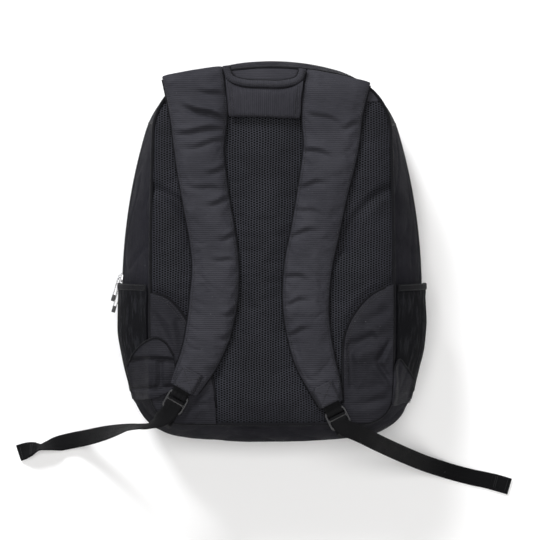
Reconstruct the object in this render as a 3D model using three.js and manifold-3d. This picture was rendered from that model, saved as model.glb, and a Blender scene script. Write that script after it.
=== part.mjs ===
// School backpack lying face down: back panel and shoulder straps up, front pocket on the surface.
// Millimetres. +Z is away from the surface, +Y is towards the top of the bag, +X is the wearer's right.
import * as THREE from "three";
import { mergeVertices } from "three/addons/utils/BufferGeometryUtils.js";
import Module from "manifold-3d";

const wasm = await Module();
wasm.setup();

// ---------- driving dimensions ----------

const GAP = 0.3; // clearance between pieces that are sewn or stacked
const CLOTH = 1.6; // lined fabric wall

// Overall outline of the bag at its fullest, seen from the back.
const BAG_HALF_WIDTH = 182;
const BAG_TOP = 233;
const BAG_BOTTOM = -232;
const BELLY = {
  halfWidth: BAG_HALF_WIDTH,
  top: BAG_TOP,
  bottom: BAG_BOTTOM,
  widestY: -50,
  sideRadius: 700,
  shoulderRadius: 112,
  shoulderDrop: 87,
  cornerRadius: 70,
  cornerRise: 64,
};

// The back panel's seam lies inside that outline.
const SEAM_TUCK_SIDE = 38;
const SEAM_TUCK_TOP = 14.5;
const SEAM_TUCK_BOTTOM = 28.5;
const BACK_SEAM = {
  halfWidth: BAG_HALF_WIDTH - SEAM_TUCK_SIDE,
  top: BAG_TOP - SEAM_TUCK_TOP,
  bottom: BAG_BOTTOM + SEAM_TUCK_BOTTOM,
  widestY: -50,
  sideRadius: 5600,
  shoulderRadius: 70,
  shoulderDrop: 76.5,
  cornerRadius: 36,
  cornerRise: 36.4,
};

// Front pocket.
const POCKET_HEIGHT = 315;
const POCKET_TUCK_SIDE = 42;
const POCKET_TUCK_BOTTOM = 26;
const POCKET_DEPTH = 29.7;
const POCKET = {
  halfWidth: BAG_HALF_WIDTH - POCKET_TUCK_SIDE,
  top: BAG_BOTTOM + POCKET_TUCK_BOTTOM + POCKET_HEIGHT,
  bottom: BAG_BOTTOM + POCKET_TUCK_BOTTOM,
  widestY: -60,
  sideRadius: 900,
  shoulderRadius: 80,
  shoulderDrop: 79,
  cornerRadius: 60,
  cornerRise: 57,
};
const POCKET_ZIP_Z = 15; // zip line of the front pocket above its face
const POCKET_ZIP_END = 2.5; // where the arched zip ends along the outline

// Levels of the main body.
const FRONT_Z = POCKET_DEPTH + GAP; // inner face of the main body's front panel
const FRONT_TUCK = 11; // how far the body rounds in at the front
const ZIP_RISE = 24; // main zip line above the front panel
const TAPE_HALF = 8; // zip tape each side of the zip line
const BODY_DEPTH = 104; // front panel to back seam
const ZIP_Z = FRONT_Z + ZIP_RISE;
const PIPING_RADIUS = 2.2;
const FRONT_EDGE_Z = FRONT_Z + 2 * PIPING_RADIUS - GAP; // where the front rounding meets the front piping
const SEAM_Z = FRONT_Z + BODY_DEPTH;
const ZIP_END = 3.1; // where the main zip ends along the outline
const SHOULDER_SPLIT = 1.9; // seam between the top and side gussets

// Back panel layers, from the inside out.
const PIPING_Z = SEAM_Z + GAP + PIPING_RADIUS;
const COVER_THICK = 2;
const FOAM_THICK = 5;
const SHEET_THICK = 1.6;
const BACK_Z = PIPING_Z + PIPING_RADIUS - GAP; // outer face of the back panel
const TOP_PANEL_Y = BACK_SEAM.top - 39; // seam between the top panel and the mesh

// Zip parts.
const TAPE_THICK = 1.2;
const COIL_WIDTH = 2.8;
const COIL_HEIGHT = 1.4;
const SLIDER_LENGTH = 11;
const SLIDER_WIDTH = 8.4;
const SLIDER_PLATE = 1;
const SLIDER_CLEAR = 0.4;
const BAIL_HEIGHT = 3.6;
const BAIL_THICK = 1;
const BAR_RADIUS = 0.7;
const PULL_LENGTH = 30;
const PULL_WIDTH = 4.4;
const PULL_ROD = 1.2;
const PULL_THICK = 1.5;

// Side mesh pockets: a span of the outline, bulging off the side gusset.
const SIDE_POCKET_MOUTH = 2.61;
const SIDE_POCKET_FOOT = 3;
const SIDE_POCKET_ROWS = 6; // facets of the pocket across the side
const SIDE_POCKET_BULGE = 11;
const SIDE_POCKET_SHEET = 1;
const SIDE_POCKET_MOUTH_SHARE = 0.75;
const BINDING_HEIGHT = 0.026;

// Shoulder straps: centre line points and full widths, from the top seam down.
const STRAP_ROOM = 2.5; // soft room between the back panel and a strap
const STRAP_LINING = 1.2;
const STRAP_FOAM = 8;
const STRAP_COVER = 1.2;
const STRAP_GAP = 0.5; // between the layers of a strap
const STRAP_TOP_Y = BACK_SEAM.top - 3.5;
const STRAP_DRAWN_FOR = 422; // panel height that the strap points are drawn for
const STRAP_RUN = (BACK_SEAM.top - BACK_SEAM.bottom) / STRAP_DRAWN_FOR;
const LEFT_STRAP = {
  side: -1,
  points: [[-95, 0], [-87, -48], [-86, -95], [-78.5, -150], [-70.6, -195], [-66.7, -230],
    [-68.6, -269], [-75.5, -310.5], [-86, -341], [-106, -378]],
  widths: [73, 70, 59, 56, 55.5, 56, 58, 54, 47, 37],
  adjuster: { reach: 15.9, angle: 30 },
};
const RIGHT_STRAP = {
  side: 1,
  points: [[79.3, -5.7], [71.5, -44], [69.5, -91], [59.7, -144], [51, -190], [43, -230],
    [40, -269], [42, -301.7], [50, -340], [62, -372], [69.6, -395]],
  widths: [78, 75, 66, 60, 58, 57.5, 56, 53, 49, 40, 30],
  adjuster: { reach: 17.5, angle: -27 },
};

// Yoke between the straps, which is also the carrying handle.
const YOKE_FROM = 0.035;
const YOKE_TO = 0.135;
const YOKE_SAG = 8;
const YOKE_ROOM = 6.5;
const YOKE_THICK = 8;
const YOKE_GAP = 0.6;
const NECK_RADIUS = 2.5;

// Ladder-lock adjusters and webbing.
const WEBBING_WIDTH = 20;
const WEBBING_THICK = 1.4;
const LOCK_WIDTH = 26;
const LOCK_THICK = 3.4;
const LOCK_BAR = 4;
const LOCK_SLOT = 5.6;
const LOCK_TAB = 8;
const LOCK_RISE = 8; // centre of the lock above the back panel
const HEM_LENGTH = 24;

// Free tails: x, y, z and the turn of the webbing about its own line, in degrees.
const LEFT_TAIL = [
  [-114.1, -177.1, 149.6, 0], [-117.9, -183.7, 149.7, 0], [-122, -189.6, 150.2, 3],
  [-130, -195.6, 149.6, 20], [-140, -200.8, 147, 62], [-150, -205, 138, 84],
  [-167.5, -209.2, 113, 78], [-187, -215, 84, 55], [-207, -221.3, 53, 35],
  [-230.5, -228.7, 22, 18], [-247, -232.8, 8, 10], [-263, -236.4, 5.4, 20],
  [-276, -238.8, 9.2, 55], [-288, -241.2, 10.6, 75], [-301, -244.4, 8, 35], [-315.4, -249.2, 1.9, 0],
];
const RIGHT_TAIL = [
  [77.6, -195.8, 149.6, 0], [81.2, -202.8, 149.7, 0], [87, -207.2, 150, 0],
  [96, -210.8, 149.2, -3], [108, -216.5, 142.5, -9], [120, -223.2, 132, -13],
  [136, -232, 112, -14], [152, -240.7, 88, -10], [169, -249.6, 62, -6],
  [185, -257.6, 38, -2], [202, -264.8, 18, 0], [220, -271.3, 6, 4], [236, -276, 2.6, 5],
  [252, -279.9, 2.4, 4], [267, -283, 1.9, 0], [282, -286.8, 1.9, 0], [296.2, -291, 1.9, 0],
];

// ---------- outlines ----------

const { cos, sin, atan2, asin, PI } = Math;
const lerp = THREE.MathUtils.lerp;
const HALF_ARCS = 5;
const ARC_STEPS = [4, 5, 12, 5, 3];

// An end arc centred on x = 0 that touches a corner arc and passes through the end of the outline.
function endRadius(corner, end, radius) {
  const rise = corner.y - end;
  return (radius ** 2 - corner.x ** 2 - rise ** 2) / (2 * (rise + Math.sign(end) * radius));
}

// Right half of an outline as five tangent arcs: top, shoulder, side, corner, bottom.
function rimArcs(rim) {
  const side = { x: rim.halfWidth - rim.sideRadius, y: rim.widestY, radius: rim.sideRadius };
  const high = asin((rim.top - rim.shoulderDrop - rim.widestY) / rim.sideRadius);
  const low = asin((rim.bottom + rim.cornerRise - rim.widestY) / rim.sideRadius);
  const touching = (radius, angle) => ({
    x: side.x + (side.radius - radius) * cos(angle),
    y: side.y + (side.radius - radius) * sin(angle),
    radius,
  });
  const shoulder = touching(rim.shoulderRadius, high);
  const corner = touching(rim.cornerRadius, low);
  const topRadius = endRadius(shoulder, rim.top, rim.shoulderRadius);
  const bottomRadius = -endRadius(corner, rim.bottom, rim.cornerRadius);
  const top = { x: 0, y: rim.top - topRadius, radius: topRadius };
  const bottom = { x: 0, y: rim.bottom + bottomRadius, radius: bottomRadius };
  const topTurn = atan2(shoulder.y - top.y, shoulder.x);
  const bottomTurn = atan2(corner.y - bottom.y, corner.x);
  const turns = [PI / 2, topTurn, high, low, bottomTurn, -PI / 2];
  return [top, shoulder, side, corner, bottom].map((arc, i) => ({
    ...arc,
    from: turns[i],
    to: turns[i + 1],
  }));
}

// A point of the outline. u runs clockwise: 0 at the top, one for each arc, 5 at the bottom, 10 back at the top.
function rimPoint(arcs, u, out) {
  const turn = THREE.MathUtils.euclideanModulo(u, 2 * HALF_ARCS);
  const side = turn > HALF_ARCS ? -1 : 1;
  const along = turn > HALF_ARCS ? 2 * HALF_ARCS - turn : turn;
  const index = Math.min(Math.floor(along), HALF_ARCS - 1);
  const arc = arcs[index];
  const angle = lerp(arc.from, arc.to, along - index);
  const radius = arc.radius + out;
  return new THREE.Vector2(side * (arc.x + radius * cos(angle)), arc.y + radius * sin(angle));
}

// Stations along the outline between two values of u, the same ones for every piece.
function stations(from, to) {
  const right = ARC_STEPS.flatMap((steps, arc) =>
    Array.from({ length: steps }, (_, i) => arc + i / steps));
  const left = right.map((u) => -u);
  const turns = [-2 * HALF_ARCS, 0, 2 * HALF_ARCS];
  const all = turns.flatMap((turn) => [...right, HALF_ARCS, ...left].map((u) => u + turn));
  const inside = [...new Set(all)].filter((u) => u > from + 0.01 && u < to - 0.01);
  return [from, ...inside.sort((a, b) => a - b), to];
}

const bellyArcs = rimArcs(BELLY);
const seamArcs = rimArcs(BACK_SEAM);
const pocketArcs = rimArcs(POCKET);

// The bag's outer skin at a level, moved outwards by `out`.
function skinPoint(u, out, z) {
  const high = ZIP_Z + TAPE_HALF;
  const low = ZIP_Z - TAPE_HALF;
  if (z > high) {
    const share = sin((PI / 2) * (SEAM_Z - z) / (SEAM_Z - high));
    return rimPoint(seamArcs, u, out).lerp(rimPoint(bellyArcs, u, out), share);
  }
  const share = THREE.MathUtils.clamp((low - z) / (low - FRONT_EDGE_Z), 0, 1);
  return rimPoint(bellyArcs, u, out - FRONT_TUCK * (1 - cos((PI / 2) * share)));
}

const pocketPoint = (u, out) => rimPoint(pocketArcs, u, out);

// ---------- solids ----------

// Moves every vertex, then turns the faces outwards.
function mapped(geometry, place) {
  const plain = geometry.index ? geometry.toNonIndexed() : geometry;
  const position = plain.getAttribute("position");
  const point = new THREE.Vector3();
  for (let i = 0; i < position.count; i += 1) {
    point.fromBufferAttribute(position, i);
    const moved = place(point);
    position.setXYZ(i, moved.x, moved.y, moved.z);
  }
  return facingOut(plain);
}

function facingOut(geometry) {
  geometry.deleteAttribute("normal");
  geometry.deleteAttribute("uv");
  const position = geometry.getAttribute("position");
  const corner = [0, 1, 2].map(() => new THREE.Vector3());
  let volume = 0;
  for (let i = 0; i < position.count; i += 3) {
    corner.forEach((c, j) => c.fromBufferAttribute(position, i + j));
    volume += corner[0].dot(corner[1].clone().cross(corner[2]));
  }
  if (volume < 0) {
    for (let i = 0; i < position.count; i += 3) {
      corner.forEach((c, j) => c.fromBufferAttribute(position, i + j));
      position.setXYZ(i + 1, corner[2].x, corner[2].y, corner[2].z);
      position.setXYZ(i + 2, corner[1].x, corner[1].y, corner[1].z);
    }
  }
  const merged = mergeVertices(geometry, 1e-4);
  merged.computeVertexNormals();
  return merged;
}

// A closed section swept round the whole outline. Section points are [out, z].
function ring(section, place) {
  const us = stations(0, 2 * HALF_ARCS);
  const loop = [...section, section[0]].map(([out, z]) => new THREE.Vector2(out, z));
  const lathe = new THREE.LatheGeometry(loop, us.length - 1);
  const position = lathe.getAttribute("position");
  for (let i = 0; i < us.length; i += 1) {
    loop.forEach(({ x: out, y: z }, j) => {
      const p = place(us[i], out, z);
      position.setXYZ(i * loop.length + j, p.x, p.y, z);
    });
  }
  return facingOut(lathe.toNonIndexed());
}

// The same section swept along part of the outline, with closed ends.
function strip(section, from, to, place) {
  const us = stations(from, to);
  const shape = new THREE.Shape(section.map(([out, z]) => new THREE.Vector2(out, z)));
  const steps = us.length - 1;
  const swept = new THREE.ExtrudeGeometry(shape, { depth: steps, steps, bevelEnabled: false });
  return mapped(swept, (p) => {
    const flat = place(us[Math.round(p.z)], p.x, p.y);
    return { x: flat.x, y: flat.y, z: p.y };
  });
}

// Section of a fabric wall between two levels.
function wallSection(low, high, levels, thick = CLOTH, out = 0) {
  const zs = Array.from({ length: levels + 1 }, (_, i) => lerp(low, high, i / levels));
  const outer = zs.map((z) => [out, z]);
  const inner = zs.map((z) => [out - thick, z]).reverse();
  return [...outer, ...inner];
}

function roundSection(out, z, radius, sides = 8) {
  return Array.from({ length: sides }, (_, i) => {
    const angle = (2 * PI * (i + 0.5)) / sides;
    return [out + radius * cos(angle), z + radius * sin(angle)];
  });
}

// A flat plate with the outline of a rim.
function plate(arcs, out, low, high) {
  const us = stations(0, 2 * HALF_ARCS).slice(0, -1);
  const shape = new THREE.Shape(us.map((u) => rimPoint(arcs, u, out)));
  const solid = new THREE.ExtrudeGeometry(shape, { depth: high - low, bevelEnabled: false });
  return mapped(solid, (p) => p.setZ(p.z + low));
}

function prism(points, low, high) {
  const shape = new THREE.Shape(points.map(([x, y]) => new THREE.Vector2(x, y)));
  const solid = new THREE.ExtrudeGeometry(shape, { depth: high - low, bevelEnabled: false });
  return mapped(solid, (p) => p.setZ(p.z + low));
}

const box = (x, y, z, at) => facingOut(new THREE.BoxGeometry(x, y, z).toNonIndexed()).translate(...at);

function manifoldOf(geometry) {
  const merged = mergeVertices(geometry.clone().deleteAttribute("normal"), 1e-4);
  return new wasm.Manifold(new wasm.Mesh({
    numProp: 3,
    vertProperties: merged.getAttribute("position").array,
    triVerts: new Uint32Array(merged.index.array),
  }));
}

function geometryOf(manifold) {
  const mesh = manifold.getMesh();
  const geometry = new THREE.BufferGeometry();
  geometry.setAttribute("position", new THREE.BufferAttribute(mesh.vertProperties, 3));
  geometry.setIndex(new THREE.BufferAttribute(mesh.triVerts, 1));
  geometry.computeVertexNormals();
  return geometry;
}

function joined(...geometries) {
  return geometryOf(geometries.map(manifoldOf).reduce((whole, piece) => whole.add(piece)));
}

// A flat band along a line: its width lies along `across` at each station.
function band(stationsOf, width, thick) {
  const steps = stationsOf.length - 1;
  const solid = new THREE.BoxGeometry(1, 1, 1, steps, 1, 1);
  return mapped(solid, (p) => {
    const { at, across, up } = stationsOf[Math.round((p.x + 0.5) * steps)];
    return at.clone().addScaledVector(across, p.y * width).addScaledVector(up, p.z * thick);
  });
}

// ---------- materials ----------

const paint = (color, roughness, metalness = 0) =>
  new THREE.MeshStandardMaterial({ color, roughness, metalness });
const FABRIC = () => paint(0x2a2a2e, 0.85);
const STRAP_FABRIC = () => paint(0x34343a, 0.85);
const AIR_MESH = () => paint(0x1c1d20, 0.95);
const POCKET_MESH = () => paint(0x202226, 0.95);
const WEBBING = () => paint(0x222225, 0.8);
const TAPE = () => paint(0x1b1b1d, 0.8);
const FOAM = () => paint(0x3a3b3e, 0.95);
const BOARD = () => paint(0x1f1f20, 0.6);
const NICKEL = () => paint(0x9a9c9f, 0.35, 1);
const PLASTIC = () => paint(0x18191b, 0.4);

const bag = new THREE.Group();

function add(name, geometry, material, parent = bag) {
  const mesh = new THREE.Mesh(geometry, material);
  mesh.name = name;
  parent.add(mesh);
  return mesh;
}

// ---------- main body ----------

const SEAM_U = 0.003; // seam allowance between neighbouring strips, along the outline

function addGussets() {
  const upper = wallSection(ZIP_Z + TAPE_HALF + GAP, SEAM_Z, 5);
  const whole = wallSection(ZIP_Z - TAPE_HALF, SEAM_Z, 7);
  const lower = wallSection(FRONT_EDGE_Z, ZIP_Z - TAPE_HALF - GAP, 3);
  const left = 2 * HALF_ARCS;
  add("top_gusset", strip(upper, -SHOULDER_SPLIT, SHOULDER_SPLIT, skinPoint), FABRIC());
  add("side_gusset_right", strip(upper, SHOULDER_SPLIT + SEAM_U, ZIP_END, skinPoint), FABRIC());
  add("side_gusset_left", strip(upper, left - ZIP_END, left - SHOULDER_SPLIT - SEAM_U, skinPoint), FABRIC());
  add("bottom_panel", strip(whole, ZIP_END + SEAM_U, left - ZIP_END - SEAM_U, skinPoint), FABRIC());
  add("front_gusset", ring(lower, skinPoint), FABRIC());
}

function addMainZip() {
  const back = wallSection(ZIP_Z + GAP, ZIP_Z + TAPE_HALF, 1, TAPE_THICK, -GAP);
  const front = wallSection(ZIP_Z - TAPE_HALF, ZIP_Z - GAP, 1, TAPE_THICK, -GAP);
  const coil = wallSection(ZIP_Z - COIL_WIDTH / 2, ZIP_Z + COIL_WIDTH / 2, 1, COIL_HEIGHT, COIL_HEIGHT);
  add("main_zip_tape_back", strip(back, -ZIP_END, ZIP_END, skinPoint), TAPE());
  add("main_zip_tape_front", strip(front, -ZIP_END, ZIP_END, skinPoint), TAPE());
  add("main_zip_coil", strip(coil, -ZIP_END, ZIP_END, skinPoint), PLASTIC());
}

// ---------- back panel ----------

// Lower edge lines of the mesh, from the side seam to the bottom seam.
const LEFT_CORNER_LINE = [[-170, -46], [-127, -52], [-106, -72], [-87, -106], [-70, -150], [-64, -260]];
const RIGHT_CORNER_LINE = [[170, -28], [119, -49], [99, -70], [88, -91], [84, -112], [86, -260]];

function cornerRegion(line, low, high, shift) {
  const curve = new THREE.SplineCurve(line.map(([x, y]) => new THREE.Vector2(x + shift.x, y + shift.y)));
  const side = Math.sign(line[0][0]);
  const outside = [line[line.length - 1][1], line[0][1]].map((y) => [side * 2 * BAG_HALF_WIDTH, y]);
  return prism([...curve.getPoints(12).map((p) => [p.x, p.y]), ...outside], low, high);
}

function addBackPanel() {
  const low = BACK_Z - COVER_THICK;
  const foamLow = low - GAP - FOAM_THICK;
  const sheetLow = foamLow - GAP - SHEET_THICK;
  const slab = manifoldOf(plate(seamArcs, -PIPING_RADIUS - GAP, low, BACK_Z));
  const wide = 2 * BAG_HALF_WIDTH;
  const topRegion = (y) => manifoldOf(prism([[-wide, y], [wide, y], [wide, wide], [-wide, wide]], low - 1, BACK_Z + 1));
  const corner = (line, shift) => manifoldOf(cornerRegion(line, low - 1, BACK_Z + 1, shift));
  const none = { x: 0, y: 0 };
  const mesh = slab.subtract(topRegion(TOP_PANEL_Y)).subtract(corner(LEFT_CORNER_LINE, none))
    .subtract(corner(RIGHT_CORNER_LINE, none));
  const leftCorner = slab.intersect(corner(LEFT_CORNER_LINE, { x: -GAP, y: -GAP }));
  const rightCorner = slab.intersect(corner(RIGHT_CORNER_LINE, { x: GAP, y: -GAP }));
  add("back_mesh", geometryOf(mesh), AIR_MESH());
  add("back_top_panel", geometryOf(slab.intersect(topRegion(TOP_PANEL_Y + GAP))), FABRIC());
  add("back_corner_left", geometryOf(leftCorner), FABRIC());
  add("back_corner_right", geometryOf(rightCorner), FABRIC());
  add("back_foam", plate(seamArcs, -2 * PIPING_RADIUS, foamLow, low - GAP), FOAM());
  add("frame_sheet", plate(seamArcs, -3 * PIPING_RADIUS, sheetLow, foamLow - GAP), BOARD());
  const seam = (u, out) => rimPoint(seamArcs, u, out);
  add("back_piping", ring(roundSection(0, PIPING_Z, PIPING_RADIUS), seam), FABRIC());
}

// ---------- front ----------

function addFront() {
  const face = (u, out) => rimPoint(bellyArcs, u, out - FRONT_TUCK);
  const pipingZ = FRONT_Z + PIPING_RADIUS - GAP - GAP;
  add("front_piping", ring(roundSection(-GAP, pipingZ, PIPING_RADIUS - GAP), face), FABRIC());
  const tuck = -FRONT_TUCK - PIPING_RADIUS - 2 * GAP;
  add("front_panel", plate(bellyArcs, tuck, FRONT_Z, FRONT_Z + CLOTH), FABRIC());

  const zipLow = POCKET_ZIP_Z - TAPE_HALF / 2;
  const zipHigh = POCKET_ZIP_Z + TAPE_HALF / 2;
  const faceTop = CLOTH + GAP;
  const far = 2 * HALF_ARCS;
  const low = wallSection(faceTop, zipLow - GAP, 1);
  const high = wallSection(zipHigh + GAP, POCKET_DEPTH, 1);
  const full = wallSection(faceTop, POCKET_DEPTH, 2);
  const tape = wallSection(zipLow, zipHigh, 1, TAPE_THICK, -GAP);
  const half = COIL_WIDTH / 2;
  const coil = wallSection(POCKET_ZIP_Z - half, POCKET_ZIP_Z + half, 1, COIL_HEIGHT, COIL_HEIGHT);
  const end = POCKET_ZIP_END;
  add("pocket_face", plate(pocketArcs, 0, 0, CLOTH), FABRIC());
  add("pocket_arch_front", strip(low, -end, end, pocketPoint), FABRIC());
  add("pocket_arch_back", strip(high, -end, end, pocketPoint), FABRIC());
  add("pocket_gusset", strip(full, end + SEAM_U, far - end - SEAM_U, pocketPoint), FABRIC());
  add("pocket_zip_tape", strip(tape, -end, end, pocketPoint), TAPE());
  add("pocket_zip_coil", strip(coil, -end, end, pocketPoint), PLASTIC());
}

// ---------- zip sliders ----------

// In a slider's own frame x points out of the bag, y lies along the zip and z across it.
function sliderBody() {
  const plateX = COIL_HEIGHT + SLIDER_CLEAR + SLIDER_PLATE / 2;
  const top = plateX + SLIDER_PLATE / 2;
  const plateBox = box(SLIDER_PLATE, SLIDER_LENGTH, SLIDER_WIDTH, [plateX, 0, 0]);
  const cheekWidth = 1.2;
  const cheekX = SLIDER_CLEAR / 2;
  const cheekZ = COIL_WIDTH / 2 + SLIDER_CLEAR + cheekWidth / 2;
  const cheeks = [-1, 1].map((side) =>
    box(top - cheekX, SLIDER_LENGTH, cheekWidth, [(top + cheekX) / 2, 0, side * cheekZ]));
  return joined(plateBox, ...cheeks, bail(top));
}

// The small arch that holds the pull.
function bail(top) {
  const half = 3.6;
  const wall = 0.9;
  const foot = 0.3;
  const arch = new THREE.Shape();
  arch.moveTo(-foot, -half);
  arch.lineTo(BAIL_HEIGHT - 1, -half);
  arch.quadraticCurveTo(BAIL_HEIGHT, -half, BAIL_HEIGHT, -half + 1);
  arch.lineTo(BAIL_HEIGHT, half - 1);
  arch.quadraticCurveTo(BAIL_HEIGHT, half, BAIL_HEIGHT - 1, half);
  arch.lineTo(-foot, half);
  arch.lineTo(-foot, half - wall);
  arch.lineTo(BAIL_HEIGHT - wall, half - wall);
  arch.lineTo(BAIL_HEIGHT - wall, -half + wall);
  arch.lineTo(-foot, -half + wall);
  const solid = new THREE.ExtrudeGeometry(arch, { depth: BAIL_THICK, bevelEnabled: false, curveSegments: 3 });
  return mapped(solid, (p) => p.set(p.x + top, p.y, p.z - BAIL_THICK / 2));
}

// A pull in the frame of its hinge: the bar on the z axis and an open rod frame along +x, on one side of z.
function pullSolid(side) {
  const far = side * (BAIL_THICK / 2 + GAP + 1 + PULL_THICK);
  const near = -side * (BAIL_THICK / 2 + 2 * GAP);
  const bar = new THREE.CylinderGeometry(BAR_RADIUS, BAR_RADIUS, Math.abs(far - near), 8);
  const pin = mapped(bar, (p) => p.set(p.x, p.z, p.y + (far + near) / 2));
  const half = PULL_WIDTH / 2;
  const loop = new THREE.Shape();
  loop.absarc(0, 0, BAR_RADIUS + PULL_ROD / 2, PI / 2, (3 * PI) / 2, false);
  loop.lineTo(4, -half);
  loop.lineTo(PULL_LENGTH - 7, -half);
  loop.lineTo(PULL_LENGTH - 6, -half - 0.6);
  loop.lineTo(PULL_LENGTH, -half - 0.2);
  loop.lineTo(PULL_LENGTH, half + 0.2);
  loop.lineTo(PULL_LENGTH - 6, half + 0.6);
  loop.lineTo(PULL_LENGTH - 7, half);
  loop.lineTo(4, half);
  const hole = new THREE.Path();
  hole.moveTo(5, -half + PULL_ROD);
  hole.lineTo(PULL_LENGTH - 9, -half + PULL_ROD);
  hole.lineTo(PULL_LENGTH - 9, half - PULL_ROD);
  hole.lineTo(5, half - PULL_ROD);
  loop.holes.push(hole);
  const flat = new THREE.ExtrudeGeometry(loop, { depth: PULL_THICK, bevelEnabled: false, curveSegments: 4 });
  const frame = mapped(flat, (p) => p.setZ(p.z + (side > 0 ? far - PULL_THICK : far)));
  return joined(pin, frame);
}

// A slider on an arc of the outline: `angle` is its place about the arc's centre, `lean` the rest turn of its pull.
function addSlider(name, arc, mirror, z, angle, lean, side) {
  const track = new THREE.Group();
  track.position.set(mirror * arc.x, arc.y, z);
  track.rotation.z = angle;
  bag.add(track);
  const seat = new THREE.Group();
  seat.position.x = arc.radius;
  track.add(seat);
  add(`${name}_slider`, sliderBody(), NICKEL(), seat);
  const hinge = new THREE.Group();
  hinge.position.x = COIL_HEIGHT + SLIDER_CLEAR + SLIDER_PLATE + BAIL_HEIGHT - 0.9 - GAP - BAR_RADIUS;
  hinge.rotation.z = lean;
  seat.add(hinge);
  add(`${name}_pull`, pullSolid(side), NICKEL(), hinge);
}

const degrees = THREE.MathUtils.degToRad;
const PULL_LEAN = 15; // rest angle of a pull off the zip line
const UPPER_SLIDER_Y = -30.5;
const LOWER_SLIDER_Y = -44;
const POCKET_SLIDER_RUN = 64.218; // rest place of the pocket slider along its zip, from the top centre

function addSliders() {
  const sideArc = bellyArcs[2];
  const topArc = pocketArcs[0];
  const place = (y) => PI - asin((y - sideArc.y) / sideArc.radius);
  const lean = PI / 2 - degrees(PULL_LEAN);
  addSlider("main_upper", sideArc, -1, ZIP_Z, place(UPPER_SLIDER_Y), lean, 1);
  addSlider("main_lower", sideArc, -1, ZIP_Z, place(LOWER_SLIDER_Y), lean, -1);
  addSlider("pocket", topArc, 1, POCKET_ZIP_Z, PI / 2 + POCKET_SLIDER_RUN / topArc.radius, lean, 1);
}

// ---------- side pockets ----------

// How far the pocket mesh stands off the side at a place along the outline and a level.
function pocketBulge(u, z) {
  const low = ZIP_Z + TAPE_HALF;
  const across = sin(PI * THREE.MathUtils.clamp((z - low) / (SEAM_Z - low), 0, 1));
  const down = THREE.MathUtils.clamp((u - SIDE_POCKET_MOUTH) / (SIDE_POCKET_FOOT - SIDE_POCKET_MOUTH), 0, 1);
  const along = down < 0.4
    ? lerp(SIDE_POCKET_MOUTH_SHARE, 1, sin((PI / 2) * down / 0.4))
    : cos((PI / 2) * (down - 0.4) / 0.6);
  return 2 * GAP + SIDE_POCKET_BULGE * across * along;
}

// A sheet on the side of the bag, offset from the pocket's bulge.
function sideSheet(side, from, to, firstRow, inner, outer) {
  const us = stations(from, to);
  const steps = us.length - 1;
  const rows = SIDE_POCKET_ROWS - firstRow;
  const solid = new THREE.BoxGeometry(1, 1, 1, steps, rows, 1);
  return mapped(solid, (p) => {
    const u = us[Math.round((p.x + 0.5) * steps)];
    const row = firstRow + (p.y + 0.5) * rows;
    const z = lerp(SIDE_POCKET_LOW, SIDE_POCKET_HIGH, row / SIDE_POCKET_ROWS);
    const out = pocketBulge(u, z) + lerp(inner, outer, p.z + 0.5);
    const flat = skinPoint(u, out, z);
    return { x: side * flat.x, y: flat.y, z };
  });
}

const SIDE_POCKET_LOW = ZIP_Z + TAPE_HALF + 3;
const SIDE_POCKET_HIGH = SEAM_Z - 3;
const WING_TO = SIDE_POCKET_FOOT + 2 / ARC_STEPS[3];
const WING_ROW = 3; // the wing covers the side pocket's rows above this one

function addSidePockets() {
  const mouth = SIDE_POCKET_MOUTH;
  [["left", -1], ["right", 1]].forEach(([name, side]) => {
    const sheet = sideSheet(side, mouth, SIDE_POCKET_FOOT, 0, 0, SIDE_POCKET_SHEET);
    const binding = sideSheet(side, mouth - BINDING_HEIGHT, mouth - SEAM_U / 3, 0, -GAP, SIDE_POCKET_SHEET + 0.7);
    const wing = sideSheet(side, SIDE_POCKET_FOOT + SEAM_U, WING_TO, WING_ROW, GAP, GAP + CLOTH);
    add(`side_pocket_${name}`, sheet, POCKET_MESH());
    add(`side_pocket_binding_${name}`, binding, WEBBING());
    add(`side_wing_${name}`, wing, FABRIC());
  });
}

// ---------- straps and yoke ----------

function strapCurve(strap) {
  const points = strap.points.map(([x, y]) => new THREE.Vector3(x, STRAP_TOP_Y + y * STRAP_RUN, 0));
  return new THREE.CatmullRomCurve3(points);
}

// A point of a strap: s from the top seam down, v from -1 to 1 across, positive to the wearer's right.
function strapPoint(strap, s, v) {
  const curve = strapCurve(strap);
  const at = curve.getPoint(s);
  const tangent = curve.getTangent(s);
  const across = new THREE.Vector2(-tangent.y, tangent.x);
  const place = s * (strap.widths.length - 1);
  const index = Math.min(Math.floor(place), strap.widths.length - 2);
  const width = lerp(strap.widths[index], strap.widths[index + 1], place - index);
  return new THREE.Vector2(at.x, at.y).addScaledVector(across, (v * width) / 2);
}

// Height of a strap's underside: down on the panel at both ends, on soft room between.
function strapBase(s) {
  const rise = Math.min(1, s / 0.12, (1 - s) / 0.12);
  return BACK_Z + GAP + STRAP_ROOM * Math.max(0, rise);
}

function strapLayer(strap, bottom, top) {
  const solid = new THREE.BoxGeometry(1, 1, 1, 18, 4, 1);
  return mapped(solid, (p) => {
    const s = p.x + 0.5;
    const v = 2 * p.y;
    const flat = strapPoint(strap, s, v);
    return { x: flat.x, y: flat.y, z: strapBase(s) + (p.z > 0 ? top(v) : bottom(v)) };
  });
}

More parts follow.
